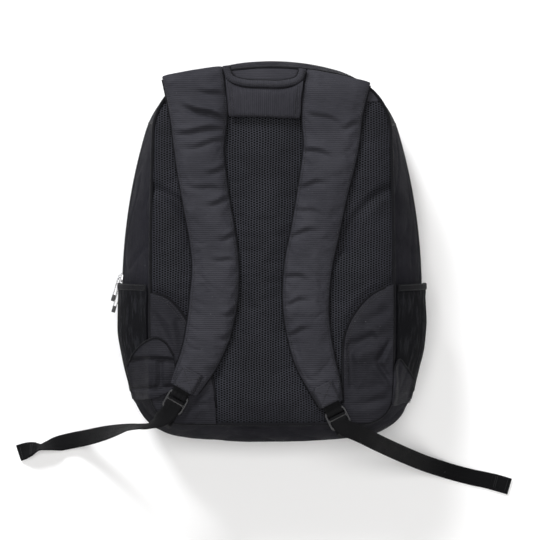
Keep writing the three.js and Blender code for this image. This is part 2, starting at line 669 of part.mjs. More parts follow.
function addStrap(name, strap) {
  const edge = 0.45; // share of the foam that is left at a strap's edges
  const crown = (v) => STRAP_LINING + STRAP_GAP + STRAP_FOAM * (1 - (1 - edge) * v ** 4);
  add(`strap_lining_${name}`, strapLayer(strap, () => 0, () => STRAP_LINING), AIR_MESH());
  add(`strap_foam_${name}`, strapLayer(strap, () => STRAP_LINING + STRAP_GAP, crown), FOAM());
  const cover = strapLayer(strap, (v) => crown(v) + STRAP_GAP, (v) => crown(v) + STRAP_GAP + STRAP_COVER);
  add(`strap_cover_${name}`, cover, STRAP_FABRIC());
}

// Edge of the yoke along the neck: u from the left strap to the right one.
function yokePoint(u, v) {
  const s = lerp(YOKE_TO, YOKE_FROM, v);
  const left = strapPoint(LEFT_STRAP, s, 1);
  const right = strapPoint(RIGHT_STRAP, s, -1);
  left.x += YOKE_GAP;
  right.x -= YOKE_GAP;
  const at = left.lerp(right, u);
  at.y -= YOKE_SAG * v * (1 - (2 * u - 1) ** 2);
  return at;
}

function addYoke() {
  const low = BACK_Z + YOKE_ROOM;
  const solid = new THREE.BoxGeometry(1, 1, 1, 8, 3, 1);
  const yoke = mapped(solid, (p) => {
    const v = p.y + 0.5;
    const flat = yokePoint(p.x + 0.5, v);
    const crown = 1 - 0.35 * (2 * v - 1) ** 4;
    return { x: flat.x, y: flat.y, z: low + (p.z > 0 ? YOKE_THICK * crown : 0) };
  });
  add("yoke_handle", yoke, STRAP_FABRIC());

  const room = NECK_RADIUS + GAP;
  const risers = [0.004, YOKE_FROM * 0.55];
  const leftSide = risers.map((s) => strapPoint(LEFT_STRAP, s, 1).add(new THREE.Vector2(room + 1, 0)));
  const rightSide = risers.map((s) => strapPoint(RIGHT_STRAP, s, -1).add(new THREE.Vector2(-room - 1, 0)));
  const middle = [0.08, 0.25, 0.5, 0.75, 0.92].map((u) => yokePoint(u, 1).add(new THREE.Vector2(0, room + 0.4)));
  const z = low + YOKE_THICK * 0.4;
  const points = [...leftSide, ...middle, ...rightSide.reverse()].map((p) => new THREE.Vector3(p.x, p.y, z));
  const curve = new THREE.CatmullRomCurve3(points);
  const section = new THREE.Shape(roundSection(0, 0, NECK_RADIUS).map(([x, y]) => new THREE.Vector2(x, y)));
  const tube = new THREE.ExtrudeGeometry(section, { steps: 24, extrudePath: curve });
  add("neck_binding", mapped(tube, (p) => p), FABRIC());
}

// ---------- adjusters and webbing ----------

// The frame of an adjuster: y up the strap, x across it, z away from the back.
function lockFrame(strap) {
  const end = strapPoint(strap, 1, 0);
  const angle = degrees(-strap.adjuster.angle);
  const down = new THREE.Vector2(sin(angle), -cos(angle));
  const centre = end.clone().addScaledVector(down, strap.adjuster.reach);
  const frame = new THREE.Group();
  frame.position.set(centre.x, centre.y, BACK_Z + LOCK_RISE);
  frame.rotation.z = angle;
  frame.updateMatrix();
  return frame;
}

function lockSolid() {
  const half = LOCK_WIDTH / 2;
  const top = LOCK_BAR / 2 + LOCK_SLOT + LOCK_BAR;
  const outline = new THREE.Shape();
  const bevel = 2;
  outline.moveTo(-half + bevel, top);
  outline.lineTo(-half, top - bevel);
  outline.lineTo(-half, -top + bevel);
  outline.lineTo(-half + bevel, -top);
  outline.lineTo(-LOCK_TAB, -top);
  outline.lineTo(-LOCK_TAB + bevel, -top - LOCK_TAB);
  outline.lineTo(LOCK_TAB - bevel, -top - LOCK_TAB);
  outline.lineTo(LOCK_TAB, -top);
  outline.lineTo(half - bevel, -top);
  outline.lineTo(half, -top + bevel);
  outline.lineTo(half, top - bevel);
  outline.lineTo(half - bevel, top);
  const slotHalf = WEBBING_WIDTH / 2 + 2 * GAP;
  [LOCK_BAR / 2, -LOCK_BAR / 2 - LOCK_SLOT].forEach((y) => {
    const slot = new THREE.Path();
    slot.moveTo(-slotHalf, y);
    slot.lineTo(slotHalf, y);
    slot.lineTo(slotHalf, y + LOCK_SLOT);
    slot.lineTo(-slotHalf, y + LOCK_SLOT);
    outline.holes.push(slot);
  });
  const solid = new THREE.ExtrudeGeometry(outline, { depth: LOCK_THICK, bevelEnabled: false });
  return mapped(solid, (p) => p.setZ(p.z - LOCK_THICK / 2));
}

// A band in the plane of a lock: points are [y, z], the width lies along x.
function lockBand(points, width) {
  const line = new THREE.CatmullRomCurve3(points.map(([y, z]) => new THREE.Vector3(0, y, z)), false, "chordal");
  const steps = 3 * (points.length - 1);
  const across = new THREE.Vector3(1, 0, 0);
  const marks = Array.from({ length: steps + 1 }, (_, i) => {
    const at = line.getPoint(i / steps);
    const up = across.clone().cross(line.getTangent(i / steps)).normalize();
    return { at, across, up };
  });
  return band(marks, width, WEBBING_THICK);
}

// Distance from a lock's centre, down its own line, that clears the bag's skin at a level across the webbing's
// width; the skin is moved outwards by `out`.
function reachDown(frame, z, out) {
  const skin = stations(0, 2 * HALF_ARCS).map((u) => skinPoint(u, out, z));
  const turn = frame.rotation.z;
  const down = new THREE.Vector2(sin(turn), -cos(turn));
  const across = new THREE.Vector2(cos(turn), sin(turn));
  const clear = (offset) => {
    const from = new THREE.Vector2(frame.position.x, frame.position.y).addScaledVector(across, offset);
    const hits = skin.slice(1).map((b, i) => {
      const edge = b.clone().sub(skin[i]);
      const start = skin[i].clone().sub(from);
      const crossing = down.cross(edge);
      const share = start.cross(down) / crossing;
      return share >= 0 && share <= 1 ? start.cross(edge) / crossing : -Infinity;
    });
    return Math.max(...hits);
  };
  const half = WEBBING_WIDTH / 2;
  return Math.max(clear(-half), clear(0), clear(half));
}

// The lower webbing's way over the piping and down outside the bottom panel to its seam.
function anchorDrop(frame) {
  const lift = WEBBING_THICK / 2 + 3 * GAP;
  const pipingTop = PIPING_Z + PIPING_RADIUS + lift - frame.position.z;
  const level = (z, out) => [-reachDown(frame, z, out), z - frame.position.z];
  const edge = reachDown(frame, SEAM_Z, PIPING_RADIUS);
  return [
    [-(edge - 6), pipingTop + GAP], [-edge, pipingTop], [-(edge + 2.4), pipingTop - 1.6],
    level(SEAM_Z - 2, 3), level(SEAM_Z - 10, 2.2), level(SEAM_Z - 15, 2),
  ];
}

function addAdjuster(name, strap) {
  const frame = lockFrame(strap);
  bag.add(frame);
  add(`adjuster_${name}`, lockSolid(), PLASTIC(), frame);
  const clear = LOCK_THICK / 2 + WEBBING_THICK / 2 + GAP;
  const bar = LOCK_BAR / 2 + LOCK_SLOT;
  const top = bar + LOCK_BAR;
  const reach = strap.adjuster.reach;
  const layers = STRAP_LINING + STRAP_FOAM + STRAP_COVER + 2 * STRAP_GAP;
  const onCover = GAP + layers + GAP + WEBBING_THICK / 2 - LOCK_RISE;
  const slotX = bar - 1.9;
  const bend = clear - 0.5;
  const patch = [
    [reach + 26, onCover + STRAP_ROOM + GAP], [reach + 12, onCover + STRAP_ROOM * 0.7 + 2 * GAP],
    [reach + 1, Math.max(onCover + 1, clear + 0.6)], [top, clear + 0.1], [bar + 0.6, clear],
    [slotX + 0.4, bend], [slotX, 0], [slotX + 0.4, -bend], [bar + 0.6, -clear], [top - 0.5, -clear],
  ];
  add(`strap_webbing_${name}`, lockBand(patch, WEBBING_WIDTH), WEBBING(), frame);
  const middle = LOCK_BAR / 2;
  const lower = [
    [1, clear], [middle, clear - 0.1], [middle + 1, bend], [middle + 1.2, 0], [middle + 1, -bend],
    [middle - 0.6, -clear], [-bar, -clear - 0.3], [-top, -clear - 0.6], ...anchorDrop(frame),
  ];
  add(`lower_webbing_${name}`, lockBand(lower, WEBBING_WIDTH), WEBBING(), frame);
}

// A tail's stations: even steps along its route, with the webbing's own turn.
function tailMarks(route, from, to, steps) {
  const line = new THREE.CatmullRomCurve3(route.map(([x, y, z]) => new THREE.Vector3(x, y, z)));
  const up = new THREE.Vector3(0, 0, 1);
  return Array.from({ length: steps + 1 }, (_, i) => {
    const t = line.getUtoTmapping(lerp(from, to, i / steps));
    const place = t * (route.length - 1);
    const index = Math.min(Math.floor(place), route.length - 2);
    const turn = degrees(lerp(route[index][3], route[index + 1][3], place - index));
    const along = line.getTangent(t);
    const across = along.clone().cross(up).normalize().applyAxisAngle(along, turn);
    return { at: line.getPoint(t), across, up: across.clone().cross(along).normalize() };
  });
}

function addTail(name, route) {
  const line = new THREE.CatmullRomCurve3(route.map(([x, y, z]) => new THREE.Vector3(x, y, z)));
  const length = line.getLength();
  const split = 1 - HEM_LENGTH / length;
  const tail = band(tailMarks(route, 0, split, 60), WEBBING_WIDTH, WEBBING_THICK);
  const hem = band(tailMarks(route, split + GAP / length, 1, 3), WEBBING_WIDTH + 0.4, 2 * WEBBING_THICK);
  add(`tail_${name}`, tail, WEBBING());
  add(`tail_hem_${name}`, hem, WEBBING());
}

// ---------- the bag ----------

addGussets();
addMainZip();
addBackPanel();
addFront();
addSliders();
addSidePockets();
addStrap("left", LEFT_STRAP);
addStrap("right", RIGHT_STRAP);
addYoke();
addAdjuster("left", LEFT_STRAP);
addAdjuster("right", RIGHT_STRAP);
addTail("left", LEFT_TAIL);
addTail("right", RIGHT_TAIL);

export default bag;
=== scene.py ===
from math import asin, atan2, cos, exp, hypot, pi, radians, sin, sqrt

import bmesh
import bpy
from mathutils import Matrix, Vector, noise
from mathutils.bvhtree import BVHTree


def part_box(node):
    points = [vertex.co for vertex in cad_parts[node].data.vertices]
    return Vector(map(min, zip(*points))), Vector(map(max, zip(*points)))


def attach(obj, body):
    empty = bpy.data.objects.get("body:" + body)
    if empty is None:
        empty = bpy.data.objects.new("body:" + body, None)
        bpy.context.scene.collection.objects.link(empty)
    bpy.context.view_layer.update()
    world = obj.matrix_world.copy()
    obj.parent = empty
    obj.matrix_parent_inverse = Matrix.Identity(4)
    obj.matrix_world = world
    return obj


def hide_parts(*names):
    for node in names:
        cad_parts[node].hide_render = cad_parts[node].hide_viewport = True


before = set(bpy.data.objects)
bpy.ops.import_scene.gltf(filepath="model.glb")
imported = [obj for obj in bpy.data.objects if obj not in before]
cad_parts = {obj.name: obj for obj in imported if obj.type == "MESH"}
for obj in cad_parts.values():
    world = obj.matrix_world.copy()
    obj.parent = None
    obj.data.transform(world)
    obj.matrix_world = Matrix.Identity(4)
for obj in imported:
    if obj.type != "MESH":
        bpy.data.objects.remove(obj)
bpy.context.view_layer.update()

MM = 0.001


def lerp(a, b, share):
    return a + (b - a) * share


def clamp(value, low=0.0, high=1.0):
    return max(low, min(high, value))


def ease(value):
    t = clamp(value)
    return t * t * (3 - 2 * t)


def hump(distance, width):
    return exp(-((distance / width) ** 2))


# ---------- camera, floor and light ----------


CAMERA_PLACE = (-0.0024, -0.021, 2.6)
CAMERA_SENSOR = 36
CAMERA_LENS = 138.9


def add_camera():
    """A long lens straight above the bag."""
    data = bpy.data.cameras.new("camera")
    data.sensor_width = CAMERA_SENSOR
    data.lens = CAMERA_LENS
    camera = bpy.data.objects.new("camera", data)
    camera.location = CAMERA_PLACE
    bpy.context.scene.collection.objects.link(camera)
    bpy.context.scene.camera = camera


def add_light(name, place, aim, size, power, tint):
    """A square soft light that faces the point it is aimed at."""
    data = bpy.data.lights.new(name, "AREA")
    data.size = size
    data.energy = power
    data.color = tint
    light = bpy.data.objects.new(name, data)
    light.location = place
    light.rotation_euler = (Vector(aim) - Vector(place)).to_track_quat("-Z", "Y").to_euler()
    bpy.context.scene.collection.objects.link(light)


def add_lights():
    add_light("overhead", (0.1, 0.0, 3.3), (0, 0, 0), 1.9, 82, (1, 0.99, 0.98))
    add_light("top_side", (-1.0, 2.0, 1.7), (0, 0.05, 0.1), 0.8, 76, (0.97, 0.98, 1))
    add_light("foot_side", (1.2, -2.0, 1.6), (0, -0.05, 0.1), 1.2, 6, (1, 0.99, 0.97))
    world = bpy.data.worlds.new("studio")
    world.use_nodes = True
    background = world.node_tree.nodes["Background"]
    background.inputs["Color"].default_value = (0.97, 0.98, 1, 1)
    background.inputs["Strength"].default_value = 0.13
    bpy.context.scene.world = world
    bpy.context.scene.view_settings.view_transform = "Standard"


def add_floor():
    bm = bmesh.new()
    bmesh.ops.create_grid(bm, x_segments=1, y_segments=1, size=6)
    mesh = bpy.data.meshes.new("floor")
    bm.to_mesh(mesh)
    bm.free()
    floor = bpy.data.objects.new("floor", mesh)
    bpy.context.scene.collection.objects.link(floor)
    paint = bpy.data.materials.new("floor_paper")
    paint.use_nodes = True
    shader = paint.node_tree.nodes["Principled BSDF"]
    shader.inputs["Base Color"].default_value = (0.985, 0.985, 0.985, 1)
    shader.inputs["Roughness"].default_value = 0.9
    mesh.materials.append(paint)


add_camera()
add_lights()
add_floor()

# ---------- shader node groups ----------


class Board:
    """Short ways to put nodes on a tree and join them."""

    def __init__(self, tree):
        self.tree = tree

    def put(self, kind, settings=(), **inputs):
        node = self.tree.nodes.new(kind)
        for name, value in dict(settings).items():
            setattr(node, name, value)
        for name, value in inputs.items():
            self.plug(node.inputs[name.replace("_", " ")], value)
        return node

    def plug(self, socket, value):
        if isinstance(value, bpy.types.NodeSocket):
            self.tree.links.new(value, socket)
        else:
            socket.default_value = value

    def sum(self, operation, first, second=0.0, third=0.0):
        node = self.tree.nodes.new("ShaderNodeMath")
        node.operation = operation
        for socket, value in zip(node.inputs, (first, second, third)):
            self.plug(socket, value)
        return node.outputs[0]

    def wave(self, value, pitch):
        return self.sum("SINE", self.sum("DIVIDE", value, self.sum("MULTIPLY", pitch, 1 / (2 * pi))))

    def spread(self, value, low, high, bottom=0.0, top=1.0):
        node = self.put("ShaderNodeMapRange", {"interpolation_type": "SMOOTHSTEP"}, Value=value)
        for name, number in zip(("From Min", "From Max", "To Min", "To Max"), (low, high, bottom, top)):
            node.inputs[name].default_value = number
        return node.outputs[0]

    def noise(self, vector, scale, detail=3.0, roughness=0.55):
        node = self.put(
            "ShaderNodeTexNoise", (), Vector=vector, Scale=scale, Detail=detail, Roughness=roughness
        )
        return node.outputs["Fac"]


def node_group(name, inputs, outputs):
    """A shader node group with its sockets: the group, its board, what it is given and what it puts out."""
    group = bpy.data.node_groups.new(name, "ShaderNodeTree")
    for label, kind, value in inputs:
        socket = group.interface.new_socket(name=label, in_out="INPUT", socket_type=kind)
        if value is not None:
            socket.default_value = value
    for label, kind in outputs:
        group.interface.new_socket(name=label, in_out="OUTPUT", socket_type=kind)
    board = Board(group)
    source = group.nodes.new("NodeGroupInput")
    sink = group.nodes.new("NodeGroupOutput")
    return group, board, source.outputs, sink.inputs


FLOAT = "NodeSocketFloat"
VECTOR = "NodeSocketVector"


def ribs_group():
    """Ribbed nylon: ribs along the first coordinate, repeated along the second."""
    inputs = [("Vector", VECTOR, None), ("Pitch", FLOAT, 0.002)]
    group, b, given, out = node_group("nylon_ribs", inputs, [("Height", FLOAT), ("Uneven", FLOAT)])
    place = b.put("ShaderNodeSeparateXYZ", (), Vector=given["Vector"])
    long_way = b.put("ShaderNodeMapping", (), Vector=given["Vector"], Scale=(0.12, 1.0, 0.5)).outputs[0]
    slub = b.noise(long_way, 420.0, 2.0)
    shift = b.sum("MULTIPLY", slub, 0.0016)
    ribs = b.wave(b.sum("ADD", place.outputs["Y"], shift), given["Pitch"])
    thread = b.wave(place.outputs["X"], b.sum("MULTIPLY", given["Pitch"], 0.4))
    height = b.sum("ADD", b.sum("MULTIPLY", ribs, 0.5), b.sum("MULTIPLY", thread, 0.16))
    b.plug(out["Height"], height)
    b.plug(out["Uneven"], slub)
    return group


def net_group():
    """Knitted net: holes on a staggered lattice, closer together along the second coordinate."""
    inputs = [("Vector", VECTOR, None), ("Pitch", FLOAT, 0.0036)]
    group, b, given, out = node_group("net_holes", inputs, [("Hole", FLOAT), ("Height", FLOAT)])
    wobble = b.put("ShaderNodeTexNoise", (), Vector=given["Vector"], Scale=38.0, Detail=2.0)
    offset = b.put("ShaderNodeVectorMath", {"operation": "MULTIPLY_ADD"})
    b.plug(offset.inputs[0], wobble.outputs["Color"])
    b.plug(offset.inputs[1], (0.003, 0.003, 0.0))
    b.plug(offset.inputs[2], given["Vector"])
    place = b.put("ShaderNodeSeparateXYZ", (), Vector=offset.outputs[0])
    x, y = place.outputs["X"], b.sum("MULTIPLY", place.outputs["Y"], 1.3)
    step = b.sum("MULTIPLY", given["Pitch"], sqrt(3) / 2)
    waves = []
    for turn in (0.0, pi / 3, 2 * pi / 3):
        way = b.sum("ADD", b.sum("MULTIPLY", x, cos(turn)), b.sum("MULTIPLY", y, sin(turn)))
        phase = b.sum("DIVIDE", way, b.sum("MULTIPLY", step, 1 / (2 * pi)))
        waves.append(b.sum("COSINE", phase))
    total = b.sum("ADD", b.sum("ADD", waves[0], waves[1]), waves[2])
    hole = b.spread(total, -0.7, 1.3)
    b.plug(out["Hole"], hole)
    b.plug(out["Height"], b.sum("SUBTRACT", 1.0, hole))
    return group


def webbing_group():
    """Woven webbing: cross ribs with a herringbone, along the second coordinate."""
    inputs = [("Vector", VECTOR, None), ("Pitch", FLOAT, 0.0014)]
    group, b, given, out = node_group("webbing_weave", inputs, [("Height", FLOAT)])
    place = b.put("ShaderNodeSeparateXYZ", (), Vector=given["Vector"])
    lanes = b.sum("PINGPONG", place.outputs["X"], 0.0028)
    slant = b.sum("ADD", place.outputs["Y"], b.sum("MULTIPLY", lanes, 0.8))
    picks = b.wave(slant, given["Pitch"])
    warp = b.wave(place.outputs["X"], 0.0011)
    b.plug(out["Height"], b.sum("ADD", b.sum("MULTIPLY", picks, 0.5), b.sum("MULTIPLY", warp, 0.3)))
    return group


def handling_group():
    """Wear and lint: broad uneven tone, and a few pale specks of lint."""
    outputs = [("Tone", FLOAT), ("Lint", FLOAT), ("Crumple", FLOAT)]
    group, b, given, out = node_group("handling", [("Vector", VECTOR, None)], outputs)
    b.plug(out["Tone"], b.spread(b.noise(given["Vector"], 22.0, 5.0, 0.6), 0.3, 0.7))
    specks = b.noise(given["Vector"], 520.0, 1.0)
    patch = b.noise(given["Vector"], 60.0, 2.0)
    b.plug(out["Lint"], b.sum("MULTIPLY", b.spread(specks, 0.73, 0.8), b.spread(patch, 0.45, 0.65)))
    b.plug(out["Crumple"], b.noise(given["Vector"], 75.0, 4.0, 0.5))
    return group


RIBS = ribs_group()
NET = net_group()
WEAVE = webbing_group()
HANDLING = handling_group()

# ---------- materials ----------


def start_material(name, uv=None, turn=0.0):
    """A new material with its board, its shader, and coordinates from the UV map or from the object."""
    material = bpy.data.materials.new(name)
    material.use_nodes = True
    board = Board(material.node_tree)
    shader = material.node_tree.nodes["Principled BSDF"]
    if uv:
        plain = board.put("ShaderNodeUVMap", {"uv_map": uv}).outputs["UV"]
    else:
        plain = board.put("ShaderNodeTexCoord").outputs["Object"]
    if turn:
        plain = board.put("ShaderNodeMapping", (), Vector=plain, Rotation=(0.0, 0.0, turn)).outputs[0]
    return material, board, shader, plain


def use_group(board, group, **inputs):
    node = board.tree.nodes.new("ShaderNodeGroup")
    node.node_tree = group
    for name, value in inputs.items():
        board.plug(node.inputs[name], value)
    return node.outputs


def mix(board, share, first, second):
    node = board.put("ShaderNodeMix", {"data_type": "RGBA"})
    board.plug(node.inputs["Factor"], share)
    board.plug(node.inputs["A"], (*first, 1) if isinstance(first, tuple) else first)
    board.plug(node.inputs["B"], (*second, 1) if isinstance(second, tuple) else second)
    return node.outputs["Result"]


def scaled(colour, by):
    return tuple(channel * by for channel in colour)


def raise_surface(board, shader, height, distance, under=None):
    """Bumps a shader's surface by a height, over the bump of a coarser one if there is one under it."""
    node = board.put("ShaderNodeBump", (), Height=height, Distance=distance, Strength=1.0)
    if under is not None:
        board.plug(node.inputs["Normal"], under)
    board.plug(shader.inputs["Normal"], node.outputs["Normal"])


def ribbed_nylon(name, dark, light, uv=None, turn=0.0, pitch=0.0021, gloss=0.12, sheen=0.015):
    """Ribbed pack cloth: dark between its ribs, paler where handled, with lint and a soft crumple."""
    material, b, shader, place = start_material(name, uv, turn)
    ribs = use_group(b, RIBS, Vector=place, Pitch=pitch)
    hand = use_group(b, HANDLING, Vector=b.put("ShaderNodeTexCoord").outputs["Object"])
    lines = b.spread(ribs["Height"], -0.6, 0.6)
    shade = b.sum("ADD", b.sum("MULTIPLY", lines, 0.7), b.sum("MULTIPLY", ribs["Uneven"], 0.4))
    cloth = mix(b, shade, dark, light)
    worn = mix(b, b.sum("MULTIPLY", hand["Tone"], 0.22), cloth, scaled(light, 1.5))
    dusty = mix(b, b.sum("MULTIPLY", hand["Lint"], 0.35), worn, (0.16, 0.16, 0.17))
    b.plug(shader.inputs["Base Color"], dusty)
    b.plug(shader.inputs["Roughness"], b.spread(hand["Tone"], 0, 1, 0.78, 0.62))
    shader.inputs["Specular IOR Level"].default_value = gloss
    shader.inputs["Sheen Weight"].default_value = sheen
    shader.inputs["Sheen Roughness"].default_value = 0.45
    soft = b.put("ShaderNodeBump", (), Height=hand["Crumple"], Distance=0.0022, Strength=0.5)
    raise_surface(b, shader, ribs["Height"], 0.00025, soft.outputs["Normal"])
    return material


def spacer_mesh(name, dark, light, pitch=0.0037):
    """Air mesh of the back and strap linings: an open knit over dark ground."""
    material, b, shader, place = start_material(name)
    net = use_group(b, NET, Vector=place, Pitch=pitch)
    hand = use_group(b, HANDLING, Vector=place)
    yarn = mix(b, hand["Tone"], scaled(light, 0.8), scaled(light, 1.15))
    colour = mix(b, net["Hole"], yarn, dark)
    b.plug(shader.inputs["Base Color"], colour)
    b.plug(shader.inputs["Roughness"], b.spread(net["Hole"], 0, 1, 0.6, 0.95))
    shader.inputs["Specular IOR Level"].default_value = 0.1
    shader.inputs["Sheen Weight"].default_value = 0.02
    raise_surface(b, shader, net["Height"], 0.0012)
    return material


def pocket_knit(name, dark, light):
    """Fine stretch mesh, gathered into pale streaks."""
    material, b, shader, place = start_material(name, "flat")
    net = use_group(b, NET, Vector=place, Pitch=0.0015)
    long_way = b.put("ShaderNodeMapping", (), Vector=place, Scale=(0.14, 1.0, 1.0)).outputs[0]
    streak = b.spread(b.noise(long_way, 260.0, 3.0, 0.6), 0.46, 0.68)
    yarn = mix(b, streak, scaled(light, 0.75), scaled(light, 1.9))
    b.plug(shader.inputs["Base Color"], mix(b, net["Hole"], yarn, dark))
    b.plug(shader.inputs["Roughness"], b.spread(streak, 0, 1, 0.85, 0.6))
    shader.inputs["Specular IOR Level"].default_value = 0.06
    shader.inputs["Sheen Weight"].default_value = 0.008
    ridges = b.put("ShaderNodeBump", (), Height=streak, Distance=0.0012, Strength=0.8)
    raise_surface(b, shader, net["Height"], 0.0004, ridges.outputs["Normal"])
    return material


def woven_webbing(name, dark, light, pitch=0.0014):
    """Webbing, zip tape or binding, woven with cross ribs, with a little lint."""
    material, b, shader, place = start_material(name, "flat")
    weave = use_group(b, WEAVE, Vector=place, Pitch=pitch)
    hand = use_group(b, HANDLING, Vector=b.put("ShaderNodeTexCoord").outputs["Object"])
    lines = b.spread(weave["Height"], -0.6, 0.6)
    woven = mix(b, lines, dark, light)
    linty = mix(b, b.sum("MULTIPLY", hand["Lint"], 0.4), woven, (0.12, 0.12, 0.12))
    b.plug(shader.inputs["Base Color"], linty)
    b.plug(shader.inputs["Roughness"], b.spread(hand["Tone"], 0, 1, 0.75, 0.6))
    shader.inputs["Specular IOR Level"].default_value = 0.1
    shader.inputs["Sheen Weight"].default_value = 0.01
    raise_surface(b, shader, weave["Height"], 0.0003)
    return material


def thread(name, colour):
    material, b, shader, place = start_material(name)
    twist = b.wave(b.noise(place, 900.0, 1.0), 0.2)
    b.plug(shader.inputs["Base Color"], mix(b, b.spread(twist, -1, 1), scaled(colour, 0.7), colour))
    b.plug(shader.inputs["Roughness"], b.spread(twist, -1, 1, 0.5, 0.65))
    raise_surface(b, shader, twist, 0.0001)
    return material


def moulded_plastic(name, colour, roughness):
    """Moulded plastic with a fine grain, duller and paler where it is handled."""
    material, b, shader, place = start_material(name)
    hand = use_group(b, HANDLING, Vector=place)
    grain = b.noise(place, 1400.0, 2.0)
    b.plug(shader.inputs["Base Color"], mix(b, hand["Tone"], scaled(colour, 0.8), scaled(colour, 1.3)))
    b.plug(shader.inputs["Roughness"], b.spread(hand["Tone"], 0, 1, roughness, roughness + 0.14))
    raise_surface(b, shader, grain, 0.00006)
    return material


def nickel(name):
    material, b, shader, place = start_material(name)
    hand = use_group(b, HANDLING, Vector=place)
    shader.inputs["Metallic"].default_value = 1.0
    b.plug(shader.inputs["Base Color"], mix(b, hand["Tone"], (0.42, 0.42, 0.43), (0.66, 0.66, 0.67)))
    b.plug(shader.inputs["Roughness"], b.spread(b.noise(place, 700.0, 3.0), 0.3, 0.7, 0.18, 0.34))
    raise_surface(b, shader, b.noise(place, 900.0, 2.0), 0.00004)
    return material


BODY_NYLON = ribbed_nylon(
    "body_nylon", (0.006, 0.006, 0.0078), (0.018, 0.0176, 0.0224), "flat", gloss=0.02, sheen=0.004
)
PANEL_NYLON = ribbed_nylon("panel_nylon", (0.0075, 0.0074, 0.0096), (0.0175, 0.0172, 0.0215), gloss=0.1)
TOP_NYLON = ribbed_nylon("top_panel_nylon", (0.0125, 0.0125, 0.016), (0.028, 0.0275, 0.0335))
STRAP_NYLON = ribbed_nylon("strap_nylon", (0.0145, 0.0144, 0.0182), (0.0305, 0.0302, 0.0368), pitch=0.0024)
YOKE_NYLON = ribbed_nylon(
    "yoke_nylon", (0.0115, 0.0113, 0.0145), (0.0285, 0.028, 0.0345), turn=pi / 2, pitch=0.0024
)
NECK_NYLON = ribbed_nylon("neck_nylon", (0.013, 0.013, 0.0165), (0.03, 0.0296, 0.036), "flat")
BACK_MESH = spacer_mesh("back_air_mesh", (0.0009, 0.0009, 0.0013), (0.0200, 0.0205, 0.0262))
LINING_MESH = spacer_mesh("lining_air_mesh", (0.0015, 0.0015, 0.002), (0.014, 0.014, 0.0175))
POCKET_MESH = pocket_knit("pocket_mesh", (0.0009, 0.0009, 0.0013), (0.0092, 0.0095, 0.0118))
WEBBING = woven_webbing("black_webbing", (0.0015, 0.0015, 0.0018), (0.0058, 0.0058, 0.0066))
ZIP_TAPE = woven_webbing("zip_tape", (0.004, 0.004, 0.0045), (0.013, 0.013, 0.014), 0.0009)
PIPING = woven_webbing("piping_cloth", (0.003, 0.003, 0.004), (0.0105, 0.0104, 0.0128), 0.0012)
THREAD = thread("black_thread", (0.012, 0.012, 0.014))
COIL = moulded_plastic("zip_coil_nylon", (0.012, 0.012, 0.013), 0.3)
LOCK = moulded_plastic("lock_plastic", (0.008, 0.008, 0.0096), 0.5)
NICKEL = nickel("nickel_plate")
TIP = moulded_plastic("pull_tip_rubber", (0.012, 0.012, 0.012), 0.45)
BOARD = moulded_plastic("frame_board", (0.015, 0.015, 0.016), 0.5)

# ---------- outlines ----------


